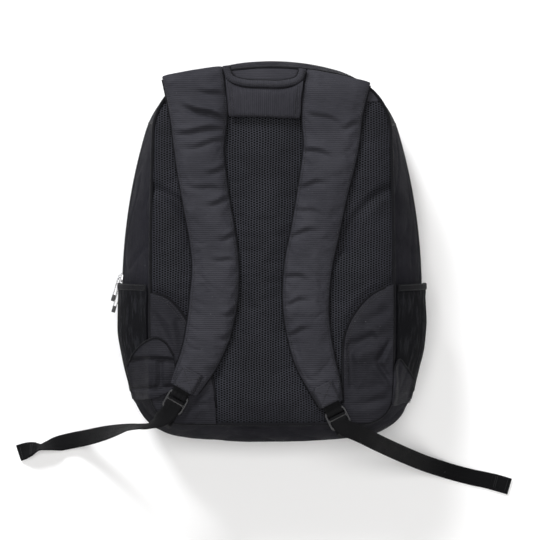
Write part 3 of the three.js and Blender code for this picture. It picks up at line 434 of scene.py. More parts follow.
class Rim:
    """An outline of five tangent arcs for each half: top, shoulder, side, corner, bottom.

    A place on it is u, clockwise from the top centre: one for each arc, 5 at the bottom centre
    and 10 back at the top.
    """

    def __init__(self, half, top, bottom, widest, side_radius, shoulder, corner):
        self.half = half
        shoulder_radius, shoulder_drop = shoulder
        corner_radius, corner_rise = corner
        side_x = half - side_radius
        high = asin((top - shoulder_drop - widest) / side_radius)
        low = asin((bottom + corner_rise - widest) / side_radius)
        reach = side_radius - shoulder_radius
        shoulder_at = (side_x + reach * cos(high), widest + reach * sin(high))
        reach = side_radius - corner_radius
        corner_at = (side_x + reach * cos(low), widest + reach * sin(low))
        top_radius = self.end_radius(shoulder_at, top, shoulder_radius)
        bottom_radius = -self.end_radius(corner_at, bottom, corner_radius)
        top_at, bottom_at = (0, top - top_radius), (0, bottom + bottom_radius)
        centres = [top_at, shoulder_at, (side_x, widest), corner_at, bottom_at]
        radii = [top_radius, shoulder_radius, side_radius, corner_radius, bottom_radius]
        top_turn = atan2(shoulder_at[1] - centres[0][1], shoulder_at[0])
        bottom_turn = atan2(corner_at[1] - centres[4][1], corner_at[0])
        turns = [pi / 2, top_turn, high, low, bottom_turn, -pi / 2]
        self.arcs = [(*centres[i], radii[i], turns[i], turns[i + 1]) for i in range(5)]
        self.lengths = [radius * (start - end) for _, _, radius, start, end in self.arcs]
        self.half_length = sum(self.lengths)

    @staticmethod
    def end_radius(centre, end, radius):
        """Radius of the arc centred on the middle line that ends at a height and touches the next arc."""
        rise = centre[1] - end
        sign = 1 if end > 0 else -1
        return (radius**2 - centre[0] ** 2 - rise**2) / (2 * (rise + sign * radius))

    def point(self, u, out=0.0):
        """The outline at u, moved outwards."""
        turn = u % 10
        side = -1 if turn > 5 else 1
        along = 10 - turn if turn > 5 else turn
        index = min(int(along), 4)
        x, y, radius, start, end = self.arcs[index]
        angle = lerp(start, end, along - index)
        return Vector((side * (x + (radius + out) * cos(angle)), y + (radius + out) * sin(angle)))

    def run(self, u):
        """Length along the outline from the top centre to u; negative on the left."""
        if u < 0:
            return -self.run(-u)
        if u > 5:
            return 2 * self.half_length - self.run(10 - u)
        whole = int(min(u, 4.999999))
        return sum(self.lengths[:whole]) + self.lengths[whole] * (u - whole)

    def turn_at(self, run):
        """The u at a length along the outline."""
        if run < 0:
            return -self.turn_at(-run)
        if run > self.half_length:
            return 10 - self.turn_at(2 * self.half_length - run)
        for index, length in enumerate(self.lengths):
            if run <= length or index == 4:
                return index + min(run / length, 1)
            run -= length

    def depth(self, x, y):
        """How far a point is inside the outline, and the way out."""
        side = -1 if x < 0 else 1
        best = None
        overlap = 0.02
        for cx, cy, radius, start, end in self.arcs:
            away = Vector((abs(x) - cx, y - cy))
            angle = atan2(away.y, away.x)
            if end - overlap <= angle <= start + overlap:
                inside = radius - away.length
                if best is None or inside < best[0]:
                    way = away.normalized()
                    best = (inside, Vector((side * way.x, way.y)))
        return best or (0.05, Vector((0, 1)))


def box_rim(node, grow, shape):
    """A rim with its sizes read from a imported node, less what that node stands outside the rim."""
    low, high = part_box(node)
    return Rim(high.x - grow, high.y - grow, low.y + grow, *shape)


PIPE = 2.2 * MM
BELLY = box_rim("front_gusset", 0.0, (-0.050, 0.700, (0.112, 0.087), (0.070, 0.064)))
SEAM = box_rim("back_piping", PIPE * cos(pi / 8), (-0.050, 5.6, (0.070, 0.0765), (0.036, 0.0364)))
POCKET = box_rim("pocket_face", 0.0, (-0.060, 0.900, (0.080, 0.079), (0.060, 0.057)))

SEAM_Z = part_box("top_gusset")[1].z
FRONT_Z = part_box("front_panel")[0].z
BACK_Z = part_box("back_mesh")[1].z
TAPE_LOW, TAPE_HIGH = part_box("bottom_panel")[0].z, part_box("main_zip_tape_back")[1].z
ZIP_Z = (TAPE_LOW + TAPE_HIGH) / 2
FRONT_EDGE_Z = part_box("front_gusset")[0].z
FRONT_TUCK = 11 * MM
PIPING_Z = SEAM_Z + 2.5 * MM
TOP_PANEL_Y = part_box("back_mesh")[1].y

# Places round the outline: where the main zip ends, and where the top wall meets the side walls.
ZIP_END = 3.1
SHOULDER_SPLIT = 1.9


def skin(u, out, z):
    """The bag's outer skin at a level, moved outwards."""
    if z > TAPE_HIGH:
        share = sin(pi / 2 * clamp((SEAM_Z - z) / (SEAM_Z - TAPE_HIGH), 0, 1))
        return SEAM.point(u, out).lerp(BELLY.point(u, out), share)
    share = clamp((TAPE_LOW - z) / (TAPE_LOW - FRONT_EDGE_Z))
    return BELLY.point(u, out - FRONT_TUCK * (1 - cos(pi / 2 * share)))


def bend(points, place, chordal=False):
    """A point and a tangent on the smooth curve through points, at place from 0 to 1."""
    count = len(points) - 1
    index = min(int(place * count), count - 1)
    weight = place * count - index
    a, b = points[index], points[index + 1]
    before = points[index - 1] if index else a * 2 - b
    after = points[index + 2] if index + 2 <= count else b * 2 - a
    power = 0.5 if chordal else 0.25
    d0 = (a - before).length_squared ** power
    d1 = (b - a).length_squared ** power
    d2 = (after - b).length_squared ** power
    t0 = ((a - before) / d0 - (b - before) / (d0 + d1) + (b - a) / d1) * d1
    t1 = ((b - a) / d1 - (after - a) / (d1 + d2) + (after - b) / d2) * d1
    w2, w3 = weight**2, weight**3
    at = a * (2 * w3 - 3 * w2 + 1) + t0 * (w3 - 2 * w2 + weight) + b * (3 * w2 - 2 * w3) + t1 * (w3 - w2)
    way = (
        a * (6 * w2 - 6 * weight) + t0 * (3 * w2 - 4 * weight + 1)
        + b * (6 * weight - 6 * w2) + t1 * (3 * w2 - 2 * weight)
    )
    return at, way.normalized()


class Route:
    """A smooth line through points, walked by its length."""

    def __init__(self, points, chordal=False, fine=16):
        self.points = [Vector(p) for p in points]
        self.chordal = chordal
        steps = fine * (len(points) - 1)
        self.places = [i / steps for i in range(steps + 1)]
        line = [bend(self.points, p, chordal)[0] for p in self.places]
        self.runs = [0.0]
        for a, b in zip(line, line[1:]):
            self.runs.append(self.runs[-1] + (b - a).length)
        self.length = self.runs[-1]

    def place(self, share):
        """Turns a share of the length into a place for bend()."""
        goal = clamp(share) * self.length
        low, high = 0, len(self.runs) - 1
        while high - low > 1:
            middle = (low + high) // 2
            if self.runs[middle] <= goal:
                low = middle
            else:
                high = middle
        part = (goal - self.runs[low]) / max(self.runs[high] - self.runs[low], 1e-9)
        return lerp(self.places[low], self.places[high], part)

    def at(self, share):
        return bend(self.points, self.place(share), self.chordal)


# ---------- making pieces ----------


def finish_piece(name, bm, materials, body="bag", nodes=()):
    """Makes a bmesh an object that rides on a body and stands for its CAD nodes."""
    mesh = bpy.data.meshes.new(name)
    bm.normal_update()
    bm.to_mesh(mesh)
    bm.free()
    for polygon in mesh.polygons:
        polygon.use_smooth = True
    for material in materials if isinstance(materials, list) else [materials]:
        mesh.materials.append(material)
    piece = bpy.data.objects.new(name, mesh)
    bpy.context.scene.collection.objects.link(piece)
    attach(piece, body)
    if nodes:
        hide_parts(*nodes)
    return piece


def laid_grid(columns, rows, place, size=(1.0, 1.0), loop=False):
    """A grid laid out by place(s, t), s and t from 0 to 1, with a flat UV map of that size in metres."""
    bm = bmesh.new()
    bmesh.ops.create_grid(bm, x_segments=columns, y_segments=rows, size=0.5)
    flat = bm.loops.layers.uv.new("flat")
    for face in bm.faces:
        for corner in face.loops:
            at = corner.vert.co
            corner[flat].uv = ((at.x + 0.5) * size[0], (at.y + 0.5) * size[1])
    for vert in bm.verts:
        vert.co = place(vert.co.x + 0.5, vert.co.y + 0.5)
    if loop:
        bmesh.ops.remove_doubles(bm, verts=bm.verts, dist=1e-6)
    bm.normal_update()
    return bm


def turn_out(bm, middle):
    """Turns an open sheet's faces away from a middle point."""
    bm.normal_update()
    away = sum(f.normal.dot(f.calc_center_median() - middle) * f.calc_area() for f in bm.faces)
    if away < 0:
        bmesh.ops.reverse_faces(bm, faces=bm.faces)


def turn_up(bm):
    turn_out(bm, Vector((0, 0, -50)))


def thicken(piece, thickness, offset=-1.0):
    wall = piece.modifiers.new("wall", "SOLIDIFY")
    wall.thickness = thickness
    wall.offset = offset
    return piece


def soften(piece, levels=1):
    smooth = piece.modifiers.new("smooth", "SUBSURF")
    smooth.levels = levels
    smooth.render_levels = levels
    return piece


def close_ends(bm):
    """Fills a tube's open ends and turns its faces out."""
    bmesh.ops.holes_fill(bm, edges=[e for e in bm.edges if e.is_boundary], sides=0)
    bmesh.ops.recalc_face_normals(bm, faces=bm.faces)


def pipe(points, radius, sides, closed=False, squash=1.0):
    """A round or oval pipe along a list of points, with closed ends."""
    count = len(points)
    frames = []
    for i in range(count):
        before = points[i - 1] if closed or i else points[0]
        after = points[(i + 1) % count] if closed or i < count - 1 else points[-1]
        way = (after - before).normalized()
        across = way.cross(Vector((0, 0, 1)))
        if across.length < 1e-3:
            across = way.cross(Vector((0, 1, 0)))
        across.normalize()
        frames.append((points[i], across, across.cross(way)))
    if closed:
        frames.append(frames[0])
    length = sum((b[0] - a[0]).length for a, b in zip(frames, frames[1:]))

    def place(s, t):
        at, across, up = frames[round(t * (len(frames) - 1))]
        angle = 2 * pi * s
        return at + across * (radius * cos(angle)) + up * (radius * squash * sin(angle))

    bm = laid_grid(sides, len(frames) - 1, place, (2 * pi * radius, length), loop=True)
    if closed:
        bmesh.ops.recalc_face_normals(bm, faces=bm.faces)
    else:
        close_ends(bm)
    return bm


STRIP_COLUMNS = 8
SELVEDGE = 0.12  # how much thicker a strip is at its woven edges


def strip_grid(marks, width, thick):
    """A closed flat strip along marks of (point, across, up), a little thicker at its woven edges."""
    columns = STRIP_COLUMNS
    length = sum((b[0] - a[0]).length for a, b in zip(marks, marks[1:]))
    around = 2 * columns + 2

    def place(s, t):
        at, across, up = marks[round(t * (len(marks) - 1))]
        turn = round(s * around) % around
        over = turn <= columns
        step = turn if over else turn - columns - 1
        share = step / columns if over else 1 - step / columns
        v = 2 * share - 1
        lift = thick / 2 * (1 - 0.35 * abs(v) ** 12 + SELVEDGE * hump(abs(v) - 0.86, 0.08))
        return at + across * (v * width / 2) + up * (lift if over else -lift)

    bm = laid_grid(around, len(marks) - 1, place, (2.2 * width, length), loop=True)
    close_ends(bm)
    return bm


def join_into(whole, part):
    """Adds a bmesh to another one and frees it."""
    mesh = bpy.data.meshes.new("part")
    part.to_mesh(mesh)
    part.free()
    whole.from_mesh(mesh)
    bpy.data.meshes.remove(mesh)


def rounded_cube(bm, place, round_by, segments=2):
    """A cube sized and placed by a matrix, with its edges rounded."""
    cube = bmesh.ops.create_cube(bm, size=1.0, matrix=place)
    edges = list({e for v in cube["verts"] for e in v.link_edges})
    bmesh.ops.bevel(
        bm, geom=edges, offset=round_by, affect="EDGES", segments=segments, profile=0.5, material=-1
    )


def rounded_block(bm, size, place, round_by, segments=2):
    rounded_cube(bm, place @ Matrix.Diagonal((*size, 1)), round_by, segments)


STITCH_HEIGHT = 0.35 * MM
STITCH_LIFT = 0.12 * MM
FINE_STITCH = (2.8 * MM, 2.0 * MM, 0.5 * MM)  # pitch, length and width


def stitch_line(bm, points, normals, pitch=3.0 * MM, length=2.1 * MM, width=0.55 * MM):
    """Thread stitches laid along a line on a surface."""
    runs = [0.0]
    for a, b in zip(points, points[1:]):
        runs.append(runs[-1] + (b - a).length)
    count = int(runs[-1] / pitch)
    index = 0
    for step in range(count):
        goal = (step + 0.5) * pitch
        while index < len(runs) - 2 and runs[index + 1] < goal:
            index += 1
        part = (goal - runs[index]) / max(runs[index + 1] - runs[index], 1e-9)
        at = points[index].lerp(points[index + 1], part)
        up = normals[index].lerp(normals[index + 1], part).normalized()
        way = (points[index + 1] - points[index]).normalized()
        side = way.cross(up).normalized()
        up = side.cross(way)
        turn = Matrix((side * width, way * length, up * STITCH_HEIGHT)).transposed().to_4x4()
        turn.translation = at + up * STITCH_LIFT
        bmesh.ops.create_cube(bm, size=1.0, matrix=turn)


def surface_of(*pieces):
    """The pieces' finished surfaces, for laying stitches on."""
    depsgraph = bpy.context.evaluated_depsgraph_get()
    whole = bmesh.new()
    for piece in pieces:
        mesh = piece.evaluated_get(depsgraph).to_mesh()
        whole.from_mesh(mesh)
        piece.evaluated_get(depsgraph).to_mesh_clear()
    tree = BVHTree.FromBMesh(whole)
    whole.free()
    return tree


ABOVE = 0.3  # a level clear above the whole bag
DOWN = Vector((0, 0, -1))


def drop_line(tree, flat_points):
    """Points let down on a surface from above, with the normals there."""
    points, normals = [], []
    for x, y in flat_points:
        at, normal, _, _ = tree.ray_cast(Vector((x, y, ABOVE)), DOWN)
        if at is not None:
            points.append(at)
            normals.append(normal if normal.z > 0 else -normal)
    return points, normals


def highest_near(tree, flat, reach):
    """The highest level of a surface at a place and a little to its four sides, or None."""
    best = None
    for dx, dy in ((0, 0), (reach, 0), (-reach, 0), (0, reach), (0, -reach)):
        at = tree.ray_cast(Vector((flat.x + dx, flat.y + dy, ABOVE)), DOWN)[0]
        if at is not None and (best is None or at.z > best):
            best = at.z
    return best


def puff(piece, pressure, cap, pinned, frames, spare):
    """Swells a padded piece with air by cloth simulation, held at its seams, and keeps the result."""
    seams = piece.vertex_groups.new(name="seams")
    seams.add([v.index for v in piece.data.vertices if pinned(v.co)], 1.0, "REPLACE")
    rest = [v.co.copy() for v in piece.data.vertices]
    cloth = piece.modifiers.new("puff", "CLOTH")
    cloth.settings.quality = 5
    cloth.settings.mass = 0.15
    cloth.settings.tension_stiffness = 12
    cloth.settings.compression_stiffness = 12
    cloth.settings.shear_stiffness = 4
    cloth.settings.bending_stiffness = 0.4
    cloth.settings.shrink_min = -spare
    cloth.settings.use_pressure = True
    cloth.settings.uniform_pressure_force = pressure
    cloth.settings.effector_weights.gravity = 0
    cloth.settings.vertex_group_mass = "seams"
    cloth.collision_settings.use_collision = False
    cloth.point_cache.frame_start = 1
    cloth.point_cache.frame_end = frames
    for number in range(1, frames + 1):
        bpy.context.scene.frame_set(number)
    puffed = piece.evaluated_get(bpy.context.evaluated_depsgraph_get()).to_mesh()
    moved = [v.co.copy() for v in puffed.vertices]
    piece.evaluated_get(bpy.context.evaluated_depsgraph_get()).to_mesh_clear()
    piece.modifiers.remove(cloth)
    piece.vertex_groups.remove(seams)
    bpy.context.scene.frame_set(1)
    for vert, start, end in zip(piece.data.vertices, rest, moved):
        step = end - start
        if step.length > cap:
            step = step.normalized() * cap * (1 + 0.12 * (1 - cap / step.length))
        vert.co = start + step
    piece.data.update()


# ---------- webbing tails ----------

WEB = 20 * MM
WEB_THICK = 1.4 * MM
HEM = 24 * MM

# Places and turns of the two free tails, from their locks to their hems.
LEFT_TAIL = [
    (-114.1, -177.1, 149.6, 0), (-117.9, -183.7, 149.7, 0), (-122, -189.6, 150.2, 3),
    (-130, -195.6, 149.6, 20), (-140, -200.8, 147, 62), (-150, -205, 138, 84),
    (-167.5, -209.2, 113, 78), (-187, -215, 84, 55), (-207, -221.3, 53, 35),
    (-230.5, -228.7, 22, 18), (-247, -232.8, 8, 10), (-263, -236.4, 5.4, 20),
    (-276, -238.8, 9.2, 55), (-288, -241.2, 10.6, 75), (-301, -244.4, 8, 35), (-315.4, -249.2, 1.9, 0),
]
RIGHT_TAIL = [
    (77.6, -195.8, 149.6, 0), (81.2, -202.8, 149.7, 0), (87, -207.2, 150, 0),
    (96, -210.8, 149.2, -3), (108, -216.5, 142.5, -9), (120, -223.2, 132, -13),
    (136, -232, 112, -14), (152, -240.7, 88, -10), (169, -249.6, 62, -6),
    (185, -257.6, 38, -2), (202, -264.8, 18, 0), (220, -271.3, 6, 4), (236, -276, 2.6, 5),
    (252, -279.9, 2.4, 4), (267, -283, 1.9, 0), (282, -286.8, 1.9, 0), (296.2, -291, 1.9, 0),
]


TAIL_STEPS = 120


def tail_marks(line, turns, start, end, steps):
    """Marks along a part of a tail's route, twisted by its turns."""
    marks = []
    for i in range(steps + 1):
        place = line.place(lerp(start, end, i / steps))
        at, way = bend(line.points, place)
        spot = place * (len(turns) - 1)
        index = min(int(spot), len(turns) - 2)
        turn = radians(lerp(turns[index], turns[index + 1], spot - index))
        across = way.cross(Vector((0, 0, 1))).normalized()
        across.rotate(Matrix.Rotation(turn, 3, way))
        marks.append((at, across, across.cross(way).normalized()))
    return marks


def add_tail(name, route):
    """A free webbing tail with its folded and stitched hem."""
    points = [Vector(p[:3]) * MM for p in route]
    turns = [p[3] for p in route]
    line = Route(points)
    split = 1 - HEM / line.length
    tail = tail_marks(line, turns, 0, 1 - 0.5 * MM / line.length, TAIL_STEPS)
    strip = strip_grid(tail, WEB, WEB_THICK)
    piece = finish_piece(f"webbing_tail_{name}", strip, WEBBING, nodes=[f"tail_{name}"])
    hem = tail_marks(line, turns, split, 1, 22)
    last = len(hem) - 1
    bm = strip_grid(hem, WEB + 0.4 * MM, 2 * WEB_THICK)
    folded = finish_piece(f"folded_hem_{name}", bm, WEBBING, nodes=[f"tail_hem_{name}"])
    rows = bmesh.new()
    for at in (0.16, 0.26, 0.84):
        mark = hem[round(at * last)]
        for face in (1, -1):
            across = [mark[0] + mark[1] * (WEB * 0.42 * v) + mark[2] * (face * WEB_THICK) for v in (-1, 0, 1)]
            stitch_line(rows, across, [mark[2] * face] * 3, 2.2 * MM, 1.7 * MM, 0.5 * MM)
    seam = finish_piece(f"hem_stitches_{name}", rows, THREAD)
    path = [line.at(i / TAIL_STEPS)[0] for i in range(TAIL_STEPS + 1)]
    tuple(path[0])


add_tail("left", LEFT_TAIL)
add_tail("right", RIGHT_TAIL)

# ---------- main body ----------


def folds(run, z, seed, depth):
    """Soft inward creases of a cloth wall, fading out at its seams."""
    broad = noise.noise(Vector((run * 9, z * 14, seed)))
    slant = noise.noise(Vector((run * 26 + z * 18, z * 30 - run * 8, seed + 5)))
    ridge = 1 - abs(noise.noise(Vector((run * 17 - z * 12, z * 24, seed + 9)))) * 3
    return depth * (0.5 + 0.5 * broad + 0.35 * slant + 0.5 * clamp(ridge) ** 3)


WALL_GRID = 2.8 * MM
WALL_THICK = 1.5 * MM
CREASE_FADE = 9 * MM  # how far from its seams a wall's creases reach their full depth


def add_wall(name, start, end, low, high, node, seed, depth):
    """One cloth of the bag's wall between two places on the outline, creased between its seams."""
    first, last = BELLY.run(start), BELLY.run(end)
    columns = round((last - first) / WALL_GRID)
    rows = round((high - low) / WALL_GRID)

    def place(s, t):
        run = lerp(first, last, s)
        z = lerp(low, high, t)
        u = BELLY.turn_at(run)
        to_rim = min(t, 1 - t) * (high - low)
        held = ease(to_rim / CREASE_FADE) * ease(min(s, 1 - s) * (last - first) / CREASE_FADE)
        pinch = 0.9 * MM * (1 - ease(to_rim / (4 * MM)))
        x, y = skin(u, -pinch - folds(run, z, seed, depth) * held, z)
        return Vector((x, y, z))

    bm = laid_grid(columns, rows, place, (last - first, high - low))
    turn_out(bm, Vector((0, 0, ZIP_Z)))
    piece = finish_piece(name, bm, BODY_NYLON, nodes=[node])
    return thicken(piece, WALL_THICK)


def add_walls():
    """The wall's four cloths: their ends, lowest level, CAD node, seed and crease depth in millimetres."""
    tuck = SEAM_Z + 2.2 * MM
    for name, start, end, low, node, seed, depth in (
        ("top_wall", -SHOULDER_SPLIT, SHOULDER_SPLIT, TAPE_HIGH, "top_gusset", 3.0, 1.5),
        ("side_wall_right", SHOULDER_SPLIT, ZIP_END, TAPE_HIGH, "side_gusset_right", 11.0, 3.4),
        ("side_wall_left", 10 - ZIP_END, 10 - SHOULDER_SPLIT, TAPE_HIGH, "side_gusset_left", 23.0, 3.4),
        ("bottom_wall", ZIP_END, 10 - ZIP_END, TAPE_LOW, "bottom_panel", 31.0, 3.2),
    ):
        add_wall(name, start, end, low, tuck, node, seed, depth * MM)


def wall_line(u, out, low, high):
    """An upright line up the wall at one place on the outline."""
    levels = [lerp(low, high, i / 24) for i in range(25)]
    return [Vector((*skin(u, out, z), z)) for z in levels]


def add_wall_seams():
    """Raised seams with a row of stitches where the wall's cloths meet."""
    seams = bmesh.new()
    rows = bmesh.new()
    for u in (SHOULDER_SPLIT, ZIP_END, -ZIP_END, -SHOULDER_SPLIT):
        low, spread = (TAPE_HIGH, 1) if abs(u) == SHOULDER_SPLIT else (TAPE_LOW, 3)
        line = wall_line(u, -0.3 * MM, low, SEAM_Z + MM)
        join_into(seams, pipe(line, 1.0 * MM, 8))
        for shift in (0.012, 0.02):
            stitched = wall_line(u + shift * spread, 0.05 * MM, low + 2 * MM, SEAM_Z - MM)
            away = [Vector((p.x, p.y, 0)).normalized() for p in stitched]
            stitch_line(rows, stitched, away)
    finish_piece("wall_seams", seams, PIPING)
    finish_piece("wall_seam_stitches", rows, THREAD)


def add_front_wall():
    """The rounded front edge of the bag, all round below the main zip."""
    whole = 2 * BELLY.half_length
    columns = round(whole / (3.6 * MM))

    def place(s, t):
        run = whole * s
        z = lerp(FRONT_EDGE_Z - MM, TAPE_LOW, t)
        held = ease(min(t, 1 - t) * 4)
        crumple = 0.5 + noise.noise(Vector((run * 20, z * 20, 41)))
        x, y = skin(BELLY.turn_at(run), -0.5 * MM - 0.8 * MM * held * crumple, z)
        return Vector((x, y, z))

    bm = laid_grid(columns, 5, place, (whole, TAPE_LOW - FRONT_EDGE_Z), loop=True)
    turn_out(bm, Vector((0, 0, ZIP_Z)))
    piece = finish_piece("front_wall", bm, BODY_NYLON, nodes=["front_gusset"])
    thicken(piece, 1.4 * MM)


def rim_loop(rim, out, z, step):
    """Points all round an outline at one level."""
    whole = 2 * rim.half_length
    count = round(whole / step)
    return [Vector((*rim.point(rim.turn_at(whole * i / count), out), z)) for i in range(count)]


def add_piping():
    """The piping round the back seam and round the front seam."""
    back = pipe(rim_loop(SEAM, 0, PIPING_Z, 3.2 * MM), 2.0 * MM, 10, closed=True)
    finish_piece("back_seam_piping", back, PIPING, nodes=["back_piping"])
    front_line = rim_loop(BELLY, -FRONT_TUCK - 0.3 * MM, FRONT_Z + 1.6 * MM, 3.6 * MM)
    front = pipe(front_line, 1.8 * MM, 8, closed=True)
    finish_piece("front_seam_piping", front, PIPING, nodes=["front_piping"])


TAPE_IN = 0.5 * MM  # how far a zip's tape lies inside the skin


def add_tape(name, rim, start, end, low, high, node, wobble=0.0):
    """A zip tape along an outline between two places and two levels."""
    first, last = rim.run(start), rim.run(end)
    columns = round((last - first) / (4 * MM))

    def place(s, t):
        run = lerp(first, last, s)
        z = lerp(low, high, t)
        lift = -TAPE_IN + wobble * noise.noise(Vector((run * 30, z * 40, 7)))
        x, y = rim.point(rim.turn_at(run), lift)
        return Vector((x, y, z))

    bm = laid_grid(columns, 4, place, (last - first, high - low))
    turn_out(bm, Vector((0, 0, (low + high) / 2)))
    piece = finish_piece(name, bm, ZIP_TAPE, nodes=[node])
    thicken(piece, 0.8 * MM)


def add_coil(name, rim, start, end, z, node):
    """Zip coil: two rows of small rounded loops that mesh along the line."""
    first, last = rim.run(start), rim.run(end)
    pitch = 2.4 * MM
    count = int((last - first) / pitch)
    bm = bmesh.new()
    for i in range(count):
        run = first + (i + 0.5) * pitch
        at = rim.point(rim.turn_at(run), 0.6 * MM)
        ahead = rim.point(rim.turn_at(run + 0.5 * MM), 0.6 * MM)
        way = Vector((*(ahead - at), 0)).normalized()
        away = Vector((way.y, -way.x, 0))
        if away.dot(Vector((at.x, at.y, 0))) < 0:
            away.negate()
        for side in (-1, 1):
            turn = Matrix((way * 1.5 * MM, Vector((0, 0, 2.0 * MM)), away * 1.3 * MM)).transposed().to_4x4()
            turn.translation = Vector((at.x, at.y, z + side * 0.75 * MM)) + way * (side * pitch / 4)
            rounded_cube(bm, turn, 0.3 * MM, 1)
    finish_piece(name, bm, COIL, nodes=[node])


def add_main_zip():
    """The main zip's two tapes, a little apart, and the coil between them."""
    gap = 0.3 * MM
    for side, low, high in (("back", ZIP_Z + gap, TAPE_HIGH + MM), ("front", TAPE_LOW - MM, ZIP_Z - gap)):
        add_tape(f"main_tape_{side}", BELLY, -ZIP_END, ZIP_END, low, high, f"main_zip_tape_{side}", 0.2 * MM)
    add_coil("main_coil", BELLY, -ZIP_END, ZIP_END, ZIP_Z, "main_zip_coil")


add_walls()
add_wall_seams()
add_front_wall()
add_piping()
add_main_zip()

# ---------- back panel ----------

# Inner edges of the lower corner panels, and the sewn channels of the mesh, in millimetres.
LEFT_CORNER_LINE = [(-170, -46), (-127, -52), (-106, -72), (-87, -106), (-70, -150), (-64, -260)]
RIGHT_CORNER_LINE = [(170, -28), (119, -49), (99, -70), (88, -91), (84, -112), (86, -260)]
LEFT_CHANNEL = [(-150, 78), (-128, 70), (-109, 57), (-96, 38), (-88, 12)]
RIGHT_CHANNEL = [(150, 78), (126, 68), (106, 50), (92, 28), (82, 2)]


def flat_route(points):
    """A smooth flat line through points given in millimetres."""
    line = [Vector((x, y, 0)) * MM for x, y in points]
    steps = 6 * (len(line) - 1)
    return [bend(line, i / steps)[0].to_2d() for i in range(steps + 1)]


def off_line(line, x, y):
    """Distance to a line of points, the side of it, positive to its left, and the run along it."""
    best, side, along = 9.0, 1.0, 0.0
    run = 0.0
    for a, b in zip(line, line[1:]):
        step = b - a
        size = step.length
        share = clamp(((x - a.x) * step.x + (y - a.y) * step.y) / size**2)
        gap = hypot(x - a.x - step.x * share, y - a.y - step.y * share)
        if gap < best:
            best = gap
            side = 1.0 if step.x * (y - a.y) - step.y * (x - a.x) >= 0 else -1.0
            along = run + share * size
        run += size
    return best, side, along


LEFT_CORNER = flat_route(LEFT_CORNER_LINE)
RIGHT_CORNER = flat_route(RIGHT_CORNER_LINE)
LEFT_GROOVE = flat_route(LEFT_CHANNEL)
RIGHT_GROOVE = flat_route(RIGHT_CHANNEL)


class StrapShape:
    """A shoulder strap's centre line and widths, from the top seam down."""

    def __init__(self, side, points, widths, reach, turn):
        self.side = side
        _, top_y, top_radius, _, _ = SEAM.arcs[0]
        self.points = [Vector((x * MM, y * MM + top_y + top_radius - 3.5 * MM, 0)) for x, y in points]
        self.widths = [w * MM for w in widths]
        self.reach = reach * MM
        self.turn = radians(turn)
        steps = [i / 40 for i in range(41)]
        self.length = sum((self.line(b)[0] - self.line(a)[0]).length for a, b in zip(steps, steps[1:]))
        self.samples = [(s, *self.line(s), self.width(s)) for s in steps]

    def line(self, s):
        return bend(self.points, s)

    def width(self, s):
        place = s * (len(self.widths) - 1)
        index = min(int(place), len(self.widths) - 2)
        return lerp(self.widths[index], self.widths[index + 1], place - index)

    def point(self, s, v):
        """The place at s along the strap and v across it, from -1 to 1."""
        at, way = self.line(clamp(s))
        across = Vector((-way.y, way.x))
        return at.to_2d() + across * (v * self.width(s) / 2)

    def share(self, x, y):
        """Where a point is along and across the strap: s, and v from -1 to 1."""
        s, at, way, width = min(self.samples, key=lambda m: (x - m[1].x) ** 2 + (y - m[1].y) ** 2)
        return s, ((x - at.x) * -way.y + (y - at.y) * way.x) / (width / 2)


LEFT_STRAP = StrapShape(
    -1,
    [(-95, 0), (-87, -48), (-86, -95), (-78.5, -150), (-70.6, -195), (-66.7, -230), (-68.6, -269),
     (-75.5, -310.5), (-86, -341), (-106, -378)],
    [73, 70, 59, 56, 55.5, 56, 58, 54, 47, 37], 15.9, -30,
)
RIGHT_STRAP = StrapShape(
    1,
    [(79.3, -5.7), (71.5, -44), (69.5, -91), (59.7, -144), (51, -190), (43, -230), (40, -269),
     (42, -301.7), (50, -340), (62, -372), (69.6, -395)],
    [78, 75, 66, 60, 58, 57.5, 56, 53, 49, 40, 30], 17.5, 27,
)


def trimmed_grid(low, high, pitch, depth, height):
    """A flat grid cut to the places where depth(x, y) is positive, its rim moved onto the outline."""
    columns = round((high.x - low.x) / pitch)
    rows = round((high.y - low.y) / pitch)

    def place(s, t):
        return Vector((lerp(low.x, high.x, s), lerp(low.y, high.y, t), 0))

    bm = laid_grid(columns, rows, place, (high.x - low.x, high.y - low.y))
    depths = {v: depth(v.co.x, v.co.y) for v in bm.verts}
    outside = [v for v in bm.verts if depths[v][0] < -0.45 * pitch]
    bmesh.ops.delete(bm, geom=outside, context="VERTS")
    loose = [v for v in bm.verts if not v.link_faces]
    bmesh.ops.delete(bm, geom=loose, context="VERTS")
    for vert in bm.verts:
        if vert.is_boundary:
            inside, way = depth(vert.co.x, vert.co.y)
            vert.co += Vector((way.x, way.y, 0)) * inside
    for vert in bm.verts:
        vert.co.z = height(vert.co.x, vert.co.y)
    turn_up(bm)
    return bm


def corner_depth(line, side):
    """Depth inside a corner panel: below and outside its line, inside the seam outline."""

    def depth(x, y):
        rim, way = SEAM.depth(x, y)
        gap, turn, _ = off_line(line, x, y)
        inward = turn * side
        nearest = min(line, key=lambda p: hypot(p.x - x, p.y - y))
        to_line = Vector((nearest.x - x, nearest.y - y))
        if to_line.length < 1e-6:
            to_line = Vector((-side, 1.0))
        signed = gap * inward
        if signed < rim:
            step = to_line.normalized() * (1 if signed > 0 else -1)
            return signed, step
        return rim, way

    return depth


